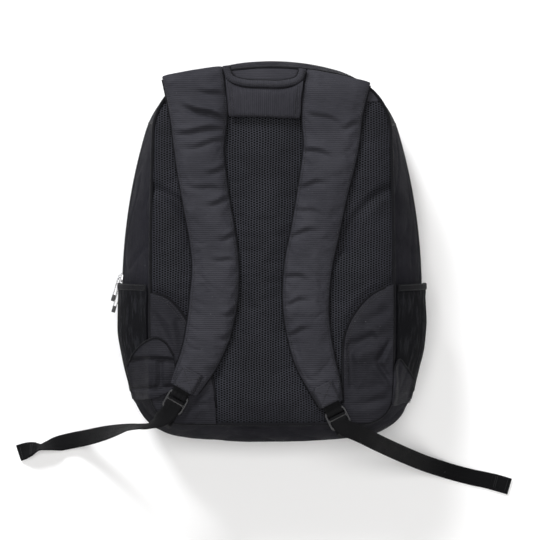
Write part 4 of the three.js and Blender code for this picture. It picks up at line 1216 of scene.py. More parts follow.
def pad_height(x, y):
    """Height of the padded mesh: crowned between its seams and channels, low under the straps."""
    rim = SEAM.depth(x, y)[0]
    top = TOP_PANEL_Y - y
    edge = min(rim, top)
    crown = 1 - exp(-clamp(edge, 0, 1) / (14 * MM))
    fullness = lerp(6.2, 3.4, ease((y - 0.11) / 0.04))
    height = BACK_Z - 1.6 * MM + fullness * MM * crown
    for strap in (LEFT_STRAP, RIGHT_STRAP):
        _, v = strap.share(x, y)
        height -= (fullness - 1.2) * MM * exp(-((abs(v) / 1.38) ** 5))
    if y < 0.02:
        for line, side in ((LEFT_CORNER, -1), (RIGHT_CORNER, 1)):
            gap, turn, _ = off_line(line, x, y)
            height -= 3.0 * MM * hump(gap, 7 * MM)
            if turn * side > 0 and x * side > 0:
                height = min(height, lerp(height, BACK_Z - 2.6 * MM, ease(gap / (5 * MM))))
    if y > -0.03:
        for line in (LEFT_GROOVE, RIGHT_GROOVE):
            gap, _, _ = off_line(line, x, y)
            height -= 5.4 * MM * hump(gap, 6.5 * MM)
    crease = abs(x + 0.033 + 0.006 * sin(y * 18))
    height -= 1.1 * MM * hump(crease, 5 * MM) * ease((-y - 0.02) / 0.05)
    height += 0.7 * MM * noise.noise(Vector((x * 22, y * 14, 3)))
    return height


def add_back_mesh():
    """The padded air mesh of the back, swollen between its seams, its channels and the straps."""
    low = Vector((-SEAM.half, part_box("back_piping")[0].y))
    high = Vector((SEAM.half, TOP_PANEL_Y + MM))

    def depth(x, y):
        rim, way = SEAM.depth(x, y)
        top = TOP_PANEL_Y + MM - y
        return (rim - MM, way) if rim - MM < top else (top, Vector((0, 1)))

    bm = trimmed_grid(low, high, 3.4 * MM, depth, pad_height)
    piece = finish_piece("back_mesh_pad", bm, BACK_MESH, nodes=["back_mesh", "back_foam"])

    def pinned(at):
        if depth(at.x, at.y)[0] < 3 * MM:
            return True
        sewn = (LEFT_GROOVE, RIGHT_GROOVE, LEFT_CORNER, RIGHT_CORNER)
        if min(off_line(line, at.x, at.y)[0] for line in sewn) < 3 * MM:
            return True
        return any(abs(strap.share(at.x, at.y)[1]) < 0.9 for strap in (LEFT_STRAP, RIGHT_STRAP))

    puff(piece, pressure=2.2, cap=2.4 * MM, pinned=pinned, frames=10, spare=0.01)
    thicken(piece, 2.2 * MM)
    soften(piece)


def add_top_panel():
    """The plain panel above the mesh, dented along its foot seam and swollen under the yoke."""
    low = Vector((-SEAM.half, TOP_PANEL_Y - 2 * MM))
    high = Vector((SEAM.half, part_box("back_piping")[1].y))

    def depth(x, y):
        rim, way = SEAM.depth(x, y)
        foot = y - (TOP_PANEL_Y - 1.5 * MM)
        return (rim - MM, way) if rim - MM < foot else (foot, Vector((0, -1)))

    def height(x, y):
        rim = SEAM.depth(x, y)[0]
        foot = y - TOP_PANEL_Y
        crown = 1 - exp(-clamp(min(rim, foot + 3 * MM), 0, 1) / (9 * MM))
        dent = 1.3 * MM * hump(foot - 3 * MM, 3 * MM)
        swell = 5.0 * MM * hump(x + 0.009, 0.036) * hump(y - TOP_PANEL_Y - 23 * MM, 0.013)
        ripple = 0.5 * MM * noise.noise(Vector((x * 30, y * 30, 8)))
        return BACK_Z - 0.6 * MM + 1.7 * MM * crown - dent + swell + ripple

    bm = trimmed_grid(low, high, 2.6 * MM, depth, height)
    piece = finish_piece("top_panel", bm, TOP_NYLON, nodes=["back_top_panel"])
    thicken(piece, 1.5 * MM)
    soften(piece)


def crease_depth(x, y, creases):
    """Depth of sewn-in creases at a place. A crease is (from, to, depth, width) with a ridge below it."""
    total = 0.0
    for a, b, depth, width in creases:
        start, end = Vector(a) * MM, Vector(b) * MM
        step = end - start
        share = clamp(((x - start.x) * step.x + (y - start.y) * step.y) / step.length_squared)
        at = start + step * share
        gap = hypot(x - at.x, y - at.y)
        below = ((x - at.x) * step.y - (y - at.y) * step.x) / step.length
        held = ease(min(share, 1 - share) * 5 + 0.25)
        ridge = hump(below - 1.9 * width * MM, 1.3 * width * MM)
        total += depth * MM * held * (hump(gap, width * MM) - 0.6 * ridge)
    return total


# Creases of the corner panels, each from its left end to its right end: depth and width in millimetres.
LEFT_CREASES = [
    ((-144, -66), (-112, -124), 2.6, 6.0), ((-112, -76), (-103, -118), 3.0, 5.0),
    ((-104, -172), (-72, -164), 2.2, 4.5), ((-112, -186), (-76, -178), 1.8, 3.5),
]
RIGHT_CREASES = [
    ((88, -114), (124, -98), 6.0, 7.0), ((106, -86), (140, -66), 3.0, 6.5),
    ((124, -130), (142, -102), 4.0, 3.0), ((124, -130), (145, -158), 4.0, 3.0),
    ((91, -108), (94, -166), 4.0, 5.0), ((92, -182), (140, -172), 2.2, 4.5),
    ((100, -162), (134, -156), 1.4, 4.0),
]


def add_corner(name, line, side, seed, sewn):
    """A lower corner panel, crowned and creased, pressed down under the strap."""
    xs = [p.x for p in line] + [side * SEAM.half]
    low = Vector((max(min(xs), -SEAM.half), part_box("back_piping")[0].y))
    high = Vector((min(max(xs), SEAM.half), max(p.y for p in line if abs(p.x) < SEAM.half) + 2 * MM))
    depth = corner_depth(line, side)

    def height(x, y):
        rim = SEAM.depth(x, y)[0]
        gap, _, along = off_line(line, x, y)
        crown = 1 - exp(-clamp(min(rim, gap + 2 * MM), 0, 1) / (11 * MM))
        creases = noise.noise(Vector((x * 40 + y * 16 * side, y * 22, seed)))
        sharp = clamp(1 - 4 * abs(noise.noise(Vector((x * 26 - side * y * 10, y * 24, seed + 4))))) ** 2
        lift = (1.1 * creases + 0.9 * sharp) * MM - crease_depth(x, y, sewn)
        raised = 1.8 * MM + 4.0 * MM * crown + lift * ease(min(gap, rim) / (9 * MM))
        for strap in (LEFT_STRAP, RIGHT_STRAP):
            under = exp(-((abs(strap.share(x, y)[1]) / 1.28) ** 8))
            raised = lerp(raised, min(raised, 1.5 * MM), under)
        return BACK_Z + max(raised, 0.1 * MM)

    bm = trimmed_grid(low, high, 2.0 * MM, depth, height)
    piece = finish_piece(
        f"corner_panel_{name}", bm, PANEL_NYLON, nodes=[f"back_corner_{name}"]
    )
    thicken(piece, 1.5 * MM)
    soften(piece)
    return piece


def add_corner_edges(name, line, piece):
    """Rolled edge and two rows of stitches along a corner panel's inner line."""
    inside = [p for p in line if SEAM.depth(p.x, p.y)[0] > 1.5 * MM]
    rolled = [Vector((p.x, p.y, BACK_Z + 1.9 * MM)) for p in inside]
    finish_piece(f"corner_edge_{name}", pipe(rolled, 1.5 * MM, 8), PIPING)
    tree = surface_of(piece)
    rows = bmesh.new()
    side = 1 if name == "right" else -1
    for gap in (3.0 * MM, 6.2 * MM):
        shifted = []
        for a, b in zip(inside, inside[1:]):
            way = (b - a).normalized()
            shifted.append(a + Vector((way.y, -way.x)) * (-side * gap))
        points, normals = drop_line(tree, shifted)
        if len(points) > 3:
            stitch_line(rows, points, normals)
    finish_piece(f"corner_stitches_{name}", rows, THREAD)


add_back_mesh()
add_top_panel()
left_corner = add_corner("left", LEFT_CORNER, -1, 50, LEFT_CREASES)
right_corner = add_corner("right", RIGHT_CORNER, 1, 60, RIGHT_CREASES)
add_corner_edges("left", LEFT_CORNER, left_corner)
add_corner_edges("right", RIGHT_CORNER, right_corner)


# ---------- shoulder straps and yoke ----------

STRAP_THICK = 11.4 * MM
SEAM_SHARE = 0.34  # height of a strap's side seam in its thickness


def wrap_place(s, over, under):
    """A place round a closed pad: whether it is on top, and its share from one edge to the other."""
    turn = round(s * (over + under)) % (over + under)
    top = turn <= over
    return top, turn / over if top else 1 - (turn - over) / under


def strap_base(s):
    """Level of a strap's underside, lower at its two ends."""
    rise = clamp(min(s, 1 - s) / 0.12)
    return BACK_Z + 0.3 * MM + 2.5 * MM * rise


def strap_creases(shape, s, v, seed):
    """Puckers across a strap, strongest on the inside of its bends."""
    inner = -shape.side * v
    run = s * shape.length
    pucker = noise.noise(Vector((v * 1.1 + run * 3, run * 52, seed)))
    fine = noise.noise(Vector((v * 2.4, run * 110, seed + 3)))
    share = 0.28 + 0.72 * ease((inner - 0.1) / 0.9)
    broad = noise.noise(Vector((v * 0.8, run * 16, seed + 7)))
    tight = clamp(1 - 3.2 * abs(noise.noise(Vector((v * 0.9 + run * 2, run * 30, seed + 13))))) ** 2
    return (2.2 * pucker * share + 0.6 * fine * share + 1.1 * broad - 1.3 * tight * share) * MM


def strap_fold(x, y, ridge):
    """A wavy fold: a ridge with a valley under it. ridge is (from, to, height)."""
    a, b, height = ridge
    start, end = Vector(a) * MM, Vector(b) * MM
    step = end - start
    share = ((x - start.x) * step.x + (y - start.y) * step.y) / step.length_squared
    away = ((x - start.x) * -step.y + (y - start.y) * step.x) / step.length
    away += 1.5 * MM * sin(share * 7)
    held = ease(1.3 - abs(share - 0.5) * 2)
    return height * MM * held * (hump(away, 4.2 * MM) - 1.1 * hump(away + 6.8 * MM, 3.0 * MM))


# Folds of the strap covers, each from end to end in millimetres, with its height.
LEFT_FOLDS = [
    ((-104, 178), (-48, 158), 6.0), ((-88, 196), (-48, 188), 3.4), ((-116, 146), (-56, 150), 3.4),
    ((-104, 128), (-50, 138), 2.4), ((-80, 98), (-44, 106), 2.8), ((-98, 84), (-54, 78), 1.9),
    ((-80, 60), (-42, 70), 2.6), ((-66, 20), (-36, 26), 2.2), ((-72, -2), (-38, -6), 1.7),
    ((-60, -70), (-34, -60), 2.4), ((-66, -98), (-36, -88), 1.9),
]
RIGHT_FOLDS = [
    ((28, 130), (72, 118), 3.0), ((38, 172), (84, 156), 2.4), ((26, 82), (64, 88), 2.6),
    ((24, 58), (62, 50), 1.9), ((12, 24), (54, 32), 2.5), ((8, -20), (44, -26), 2.1),
    ((10, -56), (42, -50), 1.9), ((14, -92), (44, -84), 2.4), ((78, 150), (104, 158), 2.2),
]


def add_strap(name, shape, seams, seed):
    """A padded shoulder strap: a creased and folded cover over a flatter mesh lining."""
    over, under = 28, 12
    rows = round(shape.length / (2.3 * MM))

    def place(s, t):
        top, share = wrap_place(s, over, under)
        spread = 2 * share - 1
        v = sin(spread * pi / 2) * 0.5 + spread * 0.5
        x, y = shape.point(t, v)
        base = strap_base(t)
        end = ease(min(t / 0.025, (1 - t) / 0.05))
        thick = STRAP_THICK * (1 - 0.3 * v**4) * lerp(0.62, 1, end)
        seam = base + SEAM_SHARE * thick
        fullness = sqrt(max(0.0, 1 - abs(v) ** 7))
        if not top:
            return Vector((x, y, lerp(seam, base, fullness)))
        lift = strap_creases(shape, t, v, seed) + sum(strap_fold(x, y, fold) for fold in seams)
        return Vector((x, y, lerp(seam, base + thick - 0.7 * MM + lift * end, fullness)))

    bm = laid_grid(over + under, rows, place, (2.1 * shape.widths[4], shape.length), loop=True)
    close_ends(bm)
    for face in bm.faces:
        face.material_index = 1 if face.normal.z < -0.5 else 0
    cloths = [STRAP_NYLON, LINING_MESH]
    nodes = [f"strap_lining_{name}", f"strap_foam_{name}", f"strap_cover_{name}"]
    piece = finish_piece(f"shoulder_strap_{name}", bm, cloths, nodes=nodes)

    def pinned(at):
        s, v = shape.share(at.x, at.y)
        return abs(v) > 0.93 or s < 0.02 or s > 0.98

    puff(piece, pressure=3.0, cap=1.1 * MM, pinned=pinned, frames=12, spare=0.015)
    soften(piece)
    return piece


def add_strap_seams(name, shape, piece):
    """The side seam where cover meets lining, and a row of stitches inside each edge."""
    seams = bmesh.new()
    rows = bmesh.new()
    tree = surface_of(piece)
    for v in (-1, 1):
        line = []
        flat = []
        for i in range(121):
            t = lerp(0.012, 0.985, i / 120)
            seam_z = strap_base(t) + SEAM_SHARE * (STRAP_THICK * 0.7)
            line.append(Vector((*shape.point(t, v * 0.995), seam_z)))
            flat.append(shape.point(t, v * (1 - 7 * MM / shape.width(t))))
        join_into(seams, pipe(line, 0.85 * MM, 6))
        points, normals = drop_line(tree, flat)
        stitch_line(rows, points, normals, 3.2 * MM, 2.2 * MM, 0.5 * MM)
    finish_piece(f"strap_edge_{name}", seams, PIPING)
    finish_piece(f"strap_stitches_{name}", rows, THREAD)


def yoke_point(u, v):
    """A place on the yoke: u from the left strap to the right one, v up from its lower edge."""
    s = lerp(0.135, 0.035, v)
    left = LEFT_STRAP.point(s, 1) + Vector((0.6 * MM, 0))
    right = RIGHT_STRAP.point(s, -1) - Vector((0.6 * MM, 0))
    at = left.lerp(right, u)
    at.y -= 12 * MM * v * (1 - (2 * u - 1) ** 4)
    return at


def add_yoke():
    """The padded yoke between the straps, with its stitching."""
    low = BACK_Z + 6.5 * MM
    thick = 8 * MM
    over, under = 12, 10

    def place(s, t):
        top, share = wrap_place(s, over, under)
        x, y = yoke_point(t, share)
        v = 2 * share - 1
        fullness = sqrt(max(0.0, 1 - abs(v) ** 6))
        seam = low + 0.42 * thick
        if not top:
            return Vector((x, y, lerp(seam, low + 0.2 * MM, fullness)))
        side = hump(min(t, 1 - t) * 0.075 - 3 * MM, 2.5 * MM)
        ripple = 0.45 * MM * noise.noise(Vector((t * 9, v * 1.5, 77)))
        crest = low + thick * (1 - 0.16 * v**2) - 0.7 * MM + ripple - 1.1 * MM * side
        return Vector((x, y, lerp(seam, crest, fullness)))

    bm = laid_grid(over + under, 34, place, (0.09, 0.075), loop=True)
    close_ends(bm)
    piece = finish_piece("yoke_pad", bm, YOKE_NYLON, nodes=["yoke_handle"])
    left, right = yoke_point(0, 0.5).x, yoke_point(1, 0.5).x

    def pinned(at):
        return at.x < left + 4 * MM or at.x > right - 4 * MM

    puff(piece, pressure=3.0, cap=1.2 * MM, pinned=pinned, frames=12, spare=0.01)
    soften(piece)
    rows = bmesh.new()
    tree = surface_of(piece)
    for u in (0.035, 0.075, 0.925, 0.965):
        points, normals = drop_line(tree, [yoke_point(u, 0.04 + 0.92 * i / 30) for i in range(31)])
        stitch_line(rows, points, normals, *FINE_STITCH)
    points, normals = drop_line(tree, [yoke_point(0.1 + 0.8 * i / 40, 0.1) for i in range(41)])
    stitch_line(rows, points, normals, *FINE_STITCH)
    finish_piece("yoke_stitches", rows, THREAD)


def add_neck_binding():
    """The folded band above the yoke, with a welt on its outer edge and a row of stitches."""
    room = 4.0 * MM
    risers = (0.004, 0.019)
    left = [LEFT_STRAP.point(s, 1) + Vector((room + MM, 0)) for s in risers]
    right = [RIGHT_STRAP.point(s, -1) - Vector((room + MM, 0)) for s in risers]
    middle = [yoke_point(u, 1) + Vector((0, room + 0.4 * MM)) for u in (0.08, 0.25, 0.5, 0.75, 0.92)]
    z = BACK_Z + 9.7 * MM
    line = Route([Vector((p.x, p.y, z)) for p in [*left, *middle, *reversed(right)]])
    points = [line.at(i / 60)[0] for i in range(61)]
    band = pipe(points, 4.1 * MM, 16, squash=0.62)
    finish_piece("neck_piping", band, NECK_NYLON, nodes=["neck_binding"])
    count = len(points) - 1
    welt, rows, normals = [], [], []
    for i, at in enumerate(points):
        way = points[min(i + 1, count)] - points[max(i - 1, 0)]
        inward = Vector((-way.y, way.x, 0)).normalized()
        welt.append(at + inward * 4.3 * MM - Vector((0, 0, 1.2 * MM)))
        rows.append(at - inward * 1.2 * MM + Vector((0, 0, 2.4 * MM)))
        normals.append(Vector((0, 0, 1)))
    finish_piece("neck_welt", pipe(welt, 1.0 * MM, 8), PIPING)
    sewn = bmesh.new()
    stitch_line(sewn, rows, normals, *FINE_STITCH)
    finish_piece("neck_stitches", sewn, THREAD)


# ---------- ladder locks and webbing ----------

LOCK_THICK = 3.4 * MM
LOCK_Z = BACK_Z + 8 * MM


def lock_place(shape):
    """A lock's own frame: y up its strap, z away from the back."""
    end = shape.point(1, 0)
    centre = end + Vector((sin(shape.turn), -cos(shape.turn))) * shape.reach
    return Matrix.Translation((centre.x, centre.y, LOCK_Z)) @ Matrix.Rotation(shape.turn, 4, "Z")


def add_lock(name, shape):
    """Ladder lock: three rounded bars between two rails, with a thumb tab and grip ridges."""
    edge, rail, tab = 13 * MM, 10.6 * MM, 8 * MM
    end, slot_far, slot_near, tab_end = 11.6 * MM, 7.6 * MM, 2 * MM, -19.6 * MM
    columns = [-edge, -rail, -tab, tab, rail, edge]
    rows = [tab_end, -end, -slot_far, -slot_near, slot_near, slot_far, end]
    bm = bmesh.new()
    bmesh.ops.create_grid(bm, x_segments=5, y_segments=6, size=0.5)
    for vert in bm.verts:
        vert.co = Vector((columns[round((vert.co.x + 0.5) * 5)], rows[round((vert.co.y + 0.5) * 6)], 0))
    open_faces = []
    for face in bm.faces:
        at = face.calc_center_median()
        in_slot = abs(at.x) < rail and slot_near < abs(at.y) < slot_far
        beside_tab = at.y < -end and abs(at.x) > tab
        if in_slot or beside_tab:
            open_faces.append(face)
    bmesh.ops.delete(bm, geom=open_faces, context="FACES")
    near = 1e-5
    corners = [v for v in bm.verts if abs(abs(v.co.x) - edge) < near and abs(abs(v.co.y) - end) < near]
    corners += [v for v in bm.verts if abs(v.co.y - tab_end) < near and abs(abs(v.co.x) - tab) < near]
    for vert in corners:
        vert.co.x *= 0.9
        vert.co.y *= 0.965
    grown = bmesh.ops.extrude_face_region(bm, geom=bm.faces[:])
    top = [v for v in grown["geom"] if isinstance(v, bmesh.types.BMVert)]
    bmesh.ops.translate(bm, verts=top, vec=(0, 0, LOCK_THICK))
    bmesh.ops.translate(bm, verts=bm.verts, vec=(0, 0, -LOCK_THICK / 2))
    bmesh.ops.recalc_face_normals(bm, faces=bm.faces)
    for vert in bm.verts:
        if abs(vert.co.y) <= slot_near + 0.1 * MM and abs(vert.co.x) < rail + 0.1 * MM:
            vert.co.z -= 0.5 * MM
        if vert.co.y < -13 * MM:
            vert.co.z += 0.5 * MM
    sharp = [e for e in bm.edges if len(e.link_faces) == 2 and e.calc_face_angle() > 0.5]
    bmesh.ops.bevel(bm, geom=sharp, offset=0.8 * MM, affect="EDGES", segments=3, profile=0.5, material=-1)
    bar_ridges = [(y, 17, 0.05) for y in (8.4, 9.6, 10.8, -8.4, -9.6, -10.8)]
    tab_ridges = [(y, 12, 0.55) for y in (-14, -15.6, -17.2)]
    for y, wide, raised in [*bar_ridges, *tab_ridges]:
        place = Matrix.Translation((0, y * MM, LOCK_THICK / 2 + raised * MM))
        rounded_block(bm, (wide * MM, 0.6 * MM, 0.6 * MM), place, 0.18 * MM)
    bmesh.ops.transform(bm, matrix=lock_place(shape), verts=bm.verts)
    finish_piece(f"ladder_lock_{name}", bm, LOCK, nodes=[f"adjuster_{name}"])


def lock_marks(shape, points, steps):
    """Marks for a strip in a lock's own plane: points are along the strap and away from the back."""
    line = Route([Vector((0, y, z)) for y, z in points], chordal=True)
    place = lock_place(shape)
    turn = place.to_3x3()
    across = Vector((1, 0, 0))
    marks = []
    for i in range(steps + 1):
        at, way = line.at(i / steps)
        marks.append((place @ at, turn @ across, turn @ across.cross(way).normalized()))
    return marks


def reach_down(shape, z, out):
    """How far down its own line from the lock the webbing clears the bag's skin at a level."""
    skin_line = [skin(10 * i / 160, out, z) for i in range(161)]
    place = lock_place(shape)
    centre = place.translation.to_2d()
    down = Vector((sin(shape.turn), -cos(shape.turn)))
    across = Vector((cos(shape.turn), sin(shape.turn)))
    best = 0.0
    for offset in (-WEB / 2, 0, WEB / 2):
        start = centre + across * offset
        for a, b in zip(skin_line, skin_line[1:]):
            edge, gap = b - a, a - start
            crossing = down.x * edge.y - down.y * edge.x
            if abs(crossing) < 1e-12:
                continue
            share = (gap.x * down.y - gap.y * down.x) / crossing
            if 0 <= share <= 1:
                best = max(best, (gap.x * edge.y - gap.y * edge.x) / crossing)
    return best


def add_lock_webbing(name, shape):
    """The strap's webbing round the lock's upper bar, and the lower webbing from the middle bar down."""
    clear = 2.7 * MM
    bar, top, middle, bend_z = 7.6 * MM, 11.6 * MM, 2 * MM, 2.2 * MM
    reach = shape.reach
    on_cover = 5.2 * MM
    slot_y = 5.7 * MM
    patch = [
        (reach + 26 * MM, on_cover + 2.8 * MM), (reach + 12 * MM, on_cover + 2.35 * MM),
        (reach + MM, max(on_cover + MM, clear + 0.6 * MM)), (top, clear + 0.1 * MM), (bar + 0.6 * MM, clear),
        (slot_y + 0.4 * MM, bend_z), (slot_y, 0), (slot_y + 0.4 * MM, -bend_z), (bar + 0.6 * MM, -clear),
        (top - 0.5 * MM, -clear),
    ]
    upper = strip_grid(lock_marks(shape, patch, 60), WEB, WEB_THICK)
    upper_piece = finish_piece(
        f"lock_webbing_{name}", upper, WEBBING, nodes=[f"strap_webbing_{name}"]
    )
    lift = WEB_THICK / 2 + 0.9 * MM
    over_piping = PIPING_Z + PIPE + lift - LOCK_Z
    edge = reach_down(shape, SEAM_Z, PIPE)
    lower = [
        (MM, clear), (middle, clear - 0.1 * MM), (middle + MM, bend_z), (middle + 1.2 * MM, 0),
        (middle + MM, -bend_z), (middle - 0.6 * MM, -clear), (-bar, -clear - 0.3 * MM),
        (-top, -clear - 0.6 * MM), (-(edge - 6 * MM), over_piping + 0.3 * MM), (-edge, over_piping),
        (-(edge + 2.4 * MM), over_piping - 1.6 * MM),
    ]
    for drop, out in ((2, 3), (10, 2.2), (15, 2)):
        lower.append((-reach_down(shape, SEAM_Z - drop * MM, out * MM), SEAM_Z - drop * MM - LOCK_Z))
    under = strip_grid(lock_marks(shape, lower, 80), WEB, WEB_THICK)
    finish_piece(f"anchor_webbing_{name}", under, WEBBING, nodes=[f"lower_webbing_{name}"])
    return upper_piece


def add_strap_patch(name, shape, pieces):
    """Cloth patch sewn over the webbing at a strap's end, with its boxed stitching."""
    tree = surface_of(*pieces)
    place = lock_place(shape)
    near, far, half = shape.reach + 1.5 * MM, shape.reach + 27 * MM, 14.5 * MM

    def spot(s, t):
        flat = place @ Vector((lerp(-half, half, s), lerp(near, far, t), 0))
        z = highest_near(tree, flat, 2 * MM) or BACK_Z + 10 * MM
        edge = min(s, 1 - s, t, 1 - t)
        return Vector((flat.x, flat.y, z + 0.25 * MM + 0.9 * MM * ease(edge / 0.06)))

    bm = laid_grid(20, 18, spot, (2 * half, far - near))
    inner = [v for v in bm.verts if not v.is_boundary]
    for _ in range(4):
        bmesh.ops.smooth_vert(bm, verts=inner, factor=0.5, use_axis_z=True)
    turn_up(bm)
    piece = finish_piece(f"strap_patch_{name}", bm, STRAP_NYLON)
    thicken(piece, 0.8 * MM)
    soften(piece)
    patch_tree = surface_of(piece)
    rows = bmesh.new()
    inset = 2.2 * MM
    x0, x1, y0, y1 = -half + inset, half - inset, near + inset, far - inset
    box = [Vector(corner) for corner in ((x0, y0), (x1, y0), (x1, y1), (x0, y1), (x0, y0))]
    cross = [[box[0], box[2]], [box[1], box[3]]]
    for loop in [box, *cross]:
        for a, b in zip(loop, loop[1:]):
            line = [a.lerp(b, i / 12).to_3d() for i in range(13)]
            points, normals = drop_line(patch_tree, [(place @ at).to_2d() for at in line])
            if len(points) > 3:
                stitch_line(rows, points, normals, 2.4 * MM, 1.8 * MM, 0.5 * MM)
    finish_piece(f"patch_stitches_{name}", rows, THREAD)


# ---------- side pockets and wings ----------

POCKET_MOUTH, POCKET_FOOT, POCKET_BULGE = 2.61, 3.0, 11 * MM
POCKET_LOW, POCKET_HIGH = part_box("side_pocket_left")[0].z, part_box("side_pocket_left")[1].z


def pocket_bulge(u, z):
    """How far a side pocket stands off the wall."""
    across = sin(pi * clamp((z - TAPE_HIGH) / (SEAM_Z - TAPE_HIGH)))
    down = clamp((u - POCKET_MOUTH) / (POCKET_FOOT - POCKET_MOUTH))
    along = lerp(0.75, 1, sin(pi / 2 * down / 0.4)) if down < 0.4 else cos(pi / 2 * (down - 0.4) / 0.6)
    return 0.6 * MM + POCKET_BULGE * across * along


def add_side_pocket(name, side, seed):
    """A stretched mesh pocket over a side wall, with its bound and stitched mouth."""
    first, last = BELLY.run(POCKET_MOUTH), BELLY.run(POCKET_FOOT)

    def spot(run, z, out):
        x, y = skin(BELLY.turn_at(run), out, z)
        return Vector((side * x, y, z))

    def place(s, t):
        run, z = lerp(first, last, s), lerp(POCKET_LOW, POCKET_HIGH, t)
        u = BELLY.turn_at(run)
        held = ease(min(t, 1 - t) / 0.12) * ease(min(s, 1 - s) / 0.08)
        gather = noise.noise(Vector((run * 14, z * 190, seed))) * (1 - 0.5 * s)
        sag = noise.noise(Vector((run * 30, z * 30, seed + 2)))
        out = pocket_bulge(u, z) + (0.7 + (0.9 * gather + 1.0 * sag - 0.6) * held) * MM
        return spot(run, z, out)

    tall = POCKET_HIGH - POCKET_LOW
    bm = laid_grid(round((last - first) / (2.2 * MM)), 40, place, (last - first, tall))
    turn_out(bm, Vector((0, 0, ZIP_Z)))
    mesh_piece = finish_piece(
        f"pocket_mesh_{name}", bm, POCKET_MESH, nodes=[f"side_pocket_{name}"]
    )
    thicken(mesh_piece, 0.7 * MM)
    binding_first = BELLY.run(POCKET_MOUTH - 0.026)

    def band(s, t):
        run, z = lerp(binding_first, first, s), lerp(POCKET_LOW, POCKET_HIGH, t)
        pucker = 0.35 * MM * noise.noise(Vector((run * 60, z * 240, seed + 5)))
        roll = 0.9 * MM * sqrt(max(0.0, 1 - (2 * s - 1) ** 4))
        return spot(run, z, pocket_bulge(BELLY.turn_at(run), z) + 0.8 * MM + roll + pucker)

    bm = laid_grid(8, 60, band, (first - binding_first, tall))
    turn_out(bm, Vector((0, 0, ZIP_Z)))
    bound = finish_piece(
        f"pocket_binding_{name}", bm, PIPING, nodes=[f"side_pocket_binding_{name}"]
    )
    thicken(bound, 1.7 * MM)
    rows = bmesh.new()
    for share in (0.16, 0.84):
        run = lerp(binding_first, first, share)
        line = []
        for i in range(41):
            z = lerp(POCKET_LOW + MM, POCKET_HIGH - MM, i / 40)
            line.append(spot(run, z, pocket_bulge(BELLY.turn_at(run), z) + 1.55 * MM))
        stitch_line(rows, line, [Vector((side, 0, 0))] * len(line), 2.6 * MM, 1.9 * MM, 0.45 * MM)
    stitched = finish_piece(f"pocket_binding_stitches_{name}", rows, THREAD)


def left_wing_folds(x, y):
    """The left wing's overhanging band, the sewn upright folds under it and the tuck at its foot."""
    x, y = x / MM, y / MM
    under = -123.5 - 0.0035 * (x + 140) ** 2
    band = 4.0 * clamp((y - under + 1.2) / 2.4)
    shade = 2.8 * hump(y - under + 3.4, 2.8)
    upright = 0.0
    for centre, height in ((-145, 2.6), (-138.5, 3.2), (-131, -3.0)):
        upright += height * hump(x - centre, 2.3) * ease((under - y) / 5) * ease((y + 160) / 5)
    tuck = 3.4 * hump(y + 162 - 0.1 * (x + 150), 2.8) - 1.2 * hump(y + 168 - 0.1 * (x + 150), 3.5)
    return (band - shade + upright - tuck) * MM


def right_wing_folds(x, y):
    """One slanting ridge on the right wing, with a valley beside it."""
    x, y = x / MM, y / MM
    along = x - 0.4 * (y + 150)
    return (1.1 * hump(along - 150, 2.6) - 1.1 * hump(along - 157, 2.2)) * MM


def add_wing(name, outline, rests, lift, seed, shaped):
    """A cloth wing draped over the back seam, from its arched edge down to its foot."""
    columns = 40
    tree = surface_of(*rests)
    top = Route([Vector((x * MM, y * MM, 0)) for x, y in outline[0]])
    foot = Route([Vector((x * MM, y * MM, 0)) for x, y in outline[1]])

    def place(s, t):
        flat = top.at(s)[0].lerp(foot.at(s)[0], t)
        z = highest_near(tree, flat, 4 * MM) or 0.1
        fold = 1.6 * MM * noise.noise(Vector((flat.x * 45, flat.y * 60, seed)))
        return Vector((flat.x, flat.y, z + lift + fold))

    bm = laid_grid(columns, 44, place, (0.07, 0.06))
    for _ in range(16):
        bmesh.ops.smooth_vert(bm, verts=bm.verts, factor=0.5, use_axis_z=True)
    for vert in bm.verts:
        vert.co.z += shaped(vert.co.x, vert.co.y)
    turn_up(bm)
    piece = finish_piece(f"wing_{name}", bm, PANEL_NYLON, nodes=[f"side_wing_{name}"])
    thicken(piece, 1.3 * MM)
    soften(piece)
    edge = [v.co.copy() for v in piece.data.vertices[: columns + 1]]
    finish_piece(f"wing_edge_{name}", pipe(edge, 1.2 * MM, 8), PIPING)


left_strap = add_strap("left", LEFT_STRAP, LEFT_FOLDS, 5)
right_strap = add_strap("right", RIGHT_STRAP, RIGHT_FOLDS, 15)
add_strap_seams("left", LEFT_STRAP, left_strap)
add_strap_seams("right", RIGHT_STRAP, right_strap)
add_yoke()
add_neck_binding()
for label, strap, strap_piece in (("left", LEFT_STRAP, left_strap), ("right", RIGHT_STRAP, right_strap)):
    add_lock(label, strap)
    webbing_piece = add_lock_webbing(label, strap)
    add_strap_patch(label, strap, [strap_piece, webbing_piece])
add_side_pocket("left", -1, 70)
add_side_pocket("right", 1, 80)

# The wings' arched edges and their feet, in millimetres, and the pieces that they lie on.
LEFT_WING = [
    [(-173, -136), (-163, -118), (-150, -106), (-136, -101), (-125, -107), (-116, -122)],
    [(-166, -176), (-158, -176), (-148, -174), (-136, -172), (-124, -166), (-112, -156)],
]
RIGHT_WING = [
    [(169, -150), (163, -141), (157, -133), (151, -127), (147, -132), (144, -140)],
    [(163, -176), (158, -179), (153, -181), (149, -182), (146, -182), (142, -181)],
]
WALLS = ("side_wall_left", "side_wall_right", "bottom_wall", "back_seam_piping")
WING_RESTS = [bpy.data.objects[name] for name in (*WALLS, "pocket_mesh_left", "pocket_mesh_right")]
add_wing("left", LEFT_WING, [*WING_RESTS, left_corner], 2.2 * MM, 90, left_wing_folds)
add_wing("right", RIGHT_WING, [*WING_RESTS, right_corner], 1.6 * MM, 97, right_wing_folds)

# ---------- front ----------


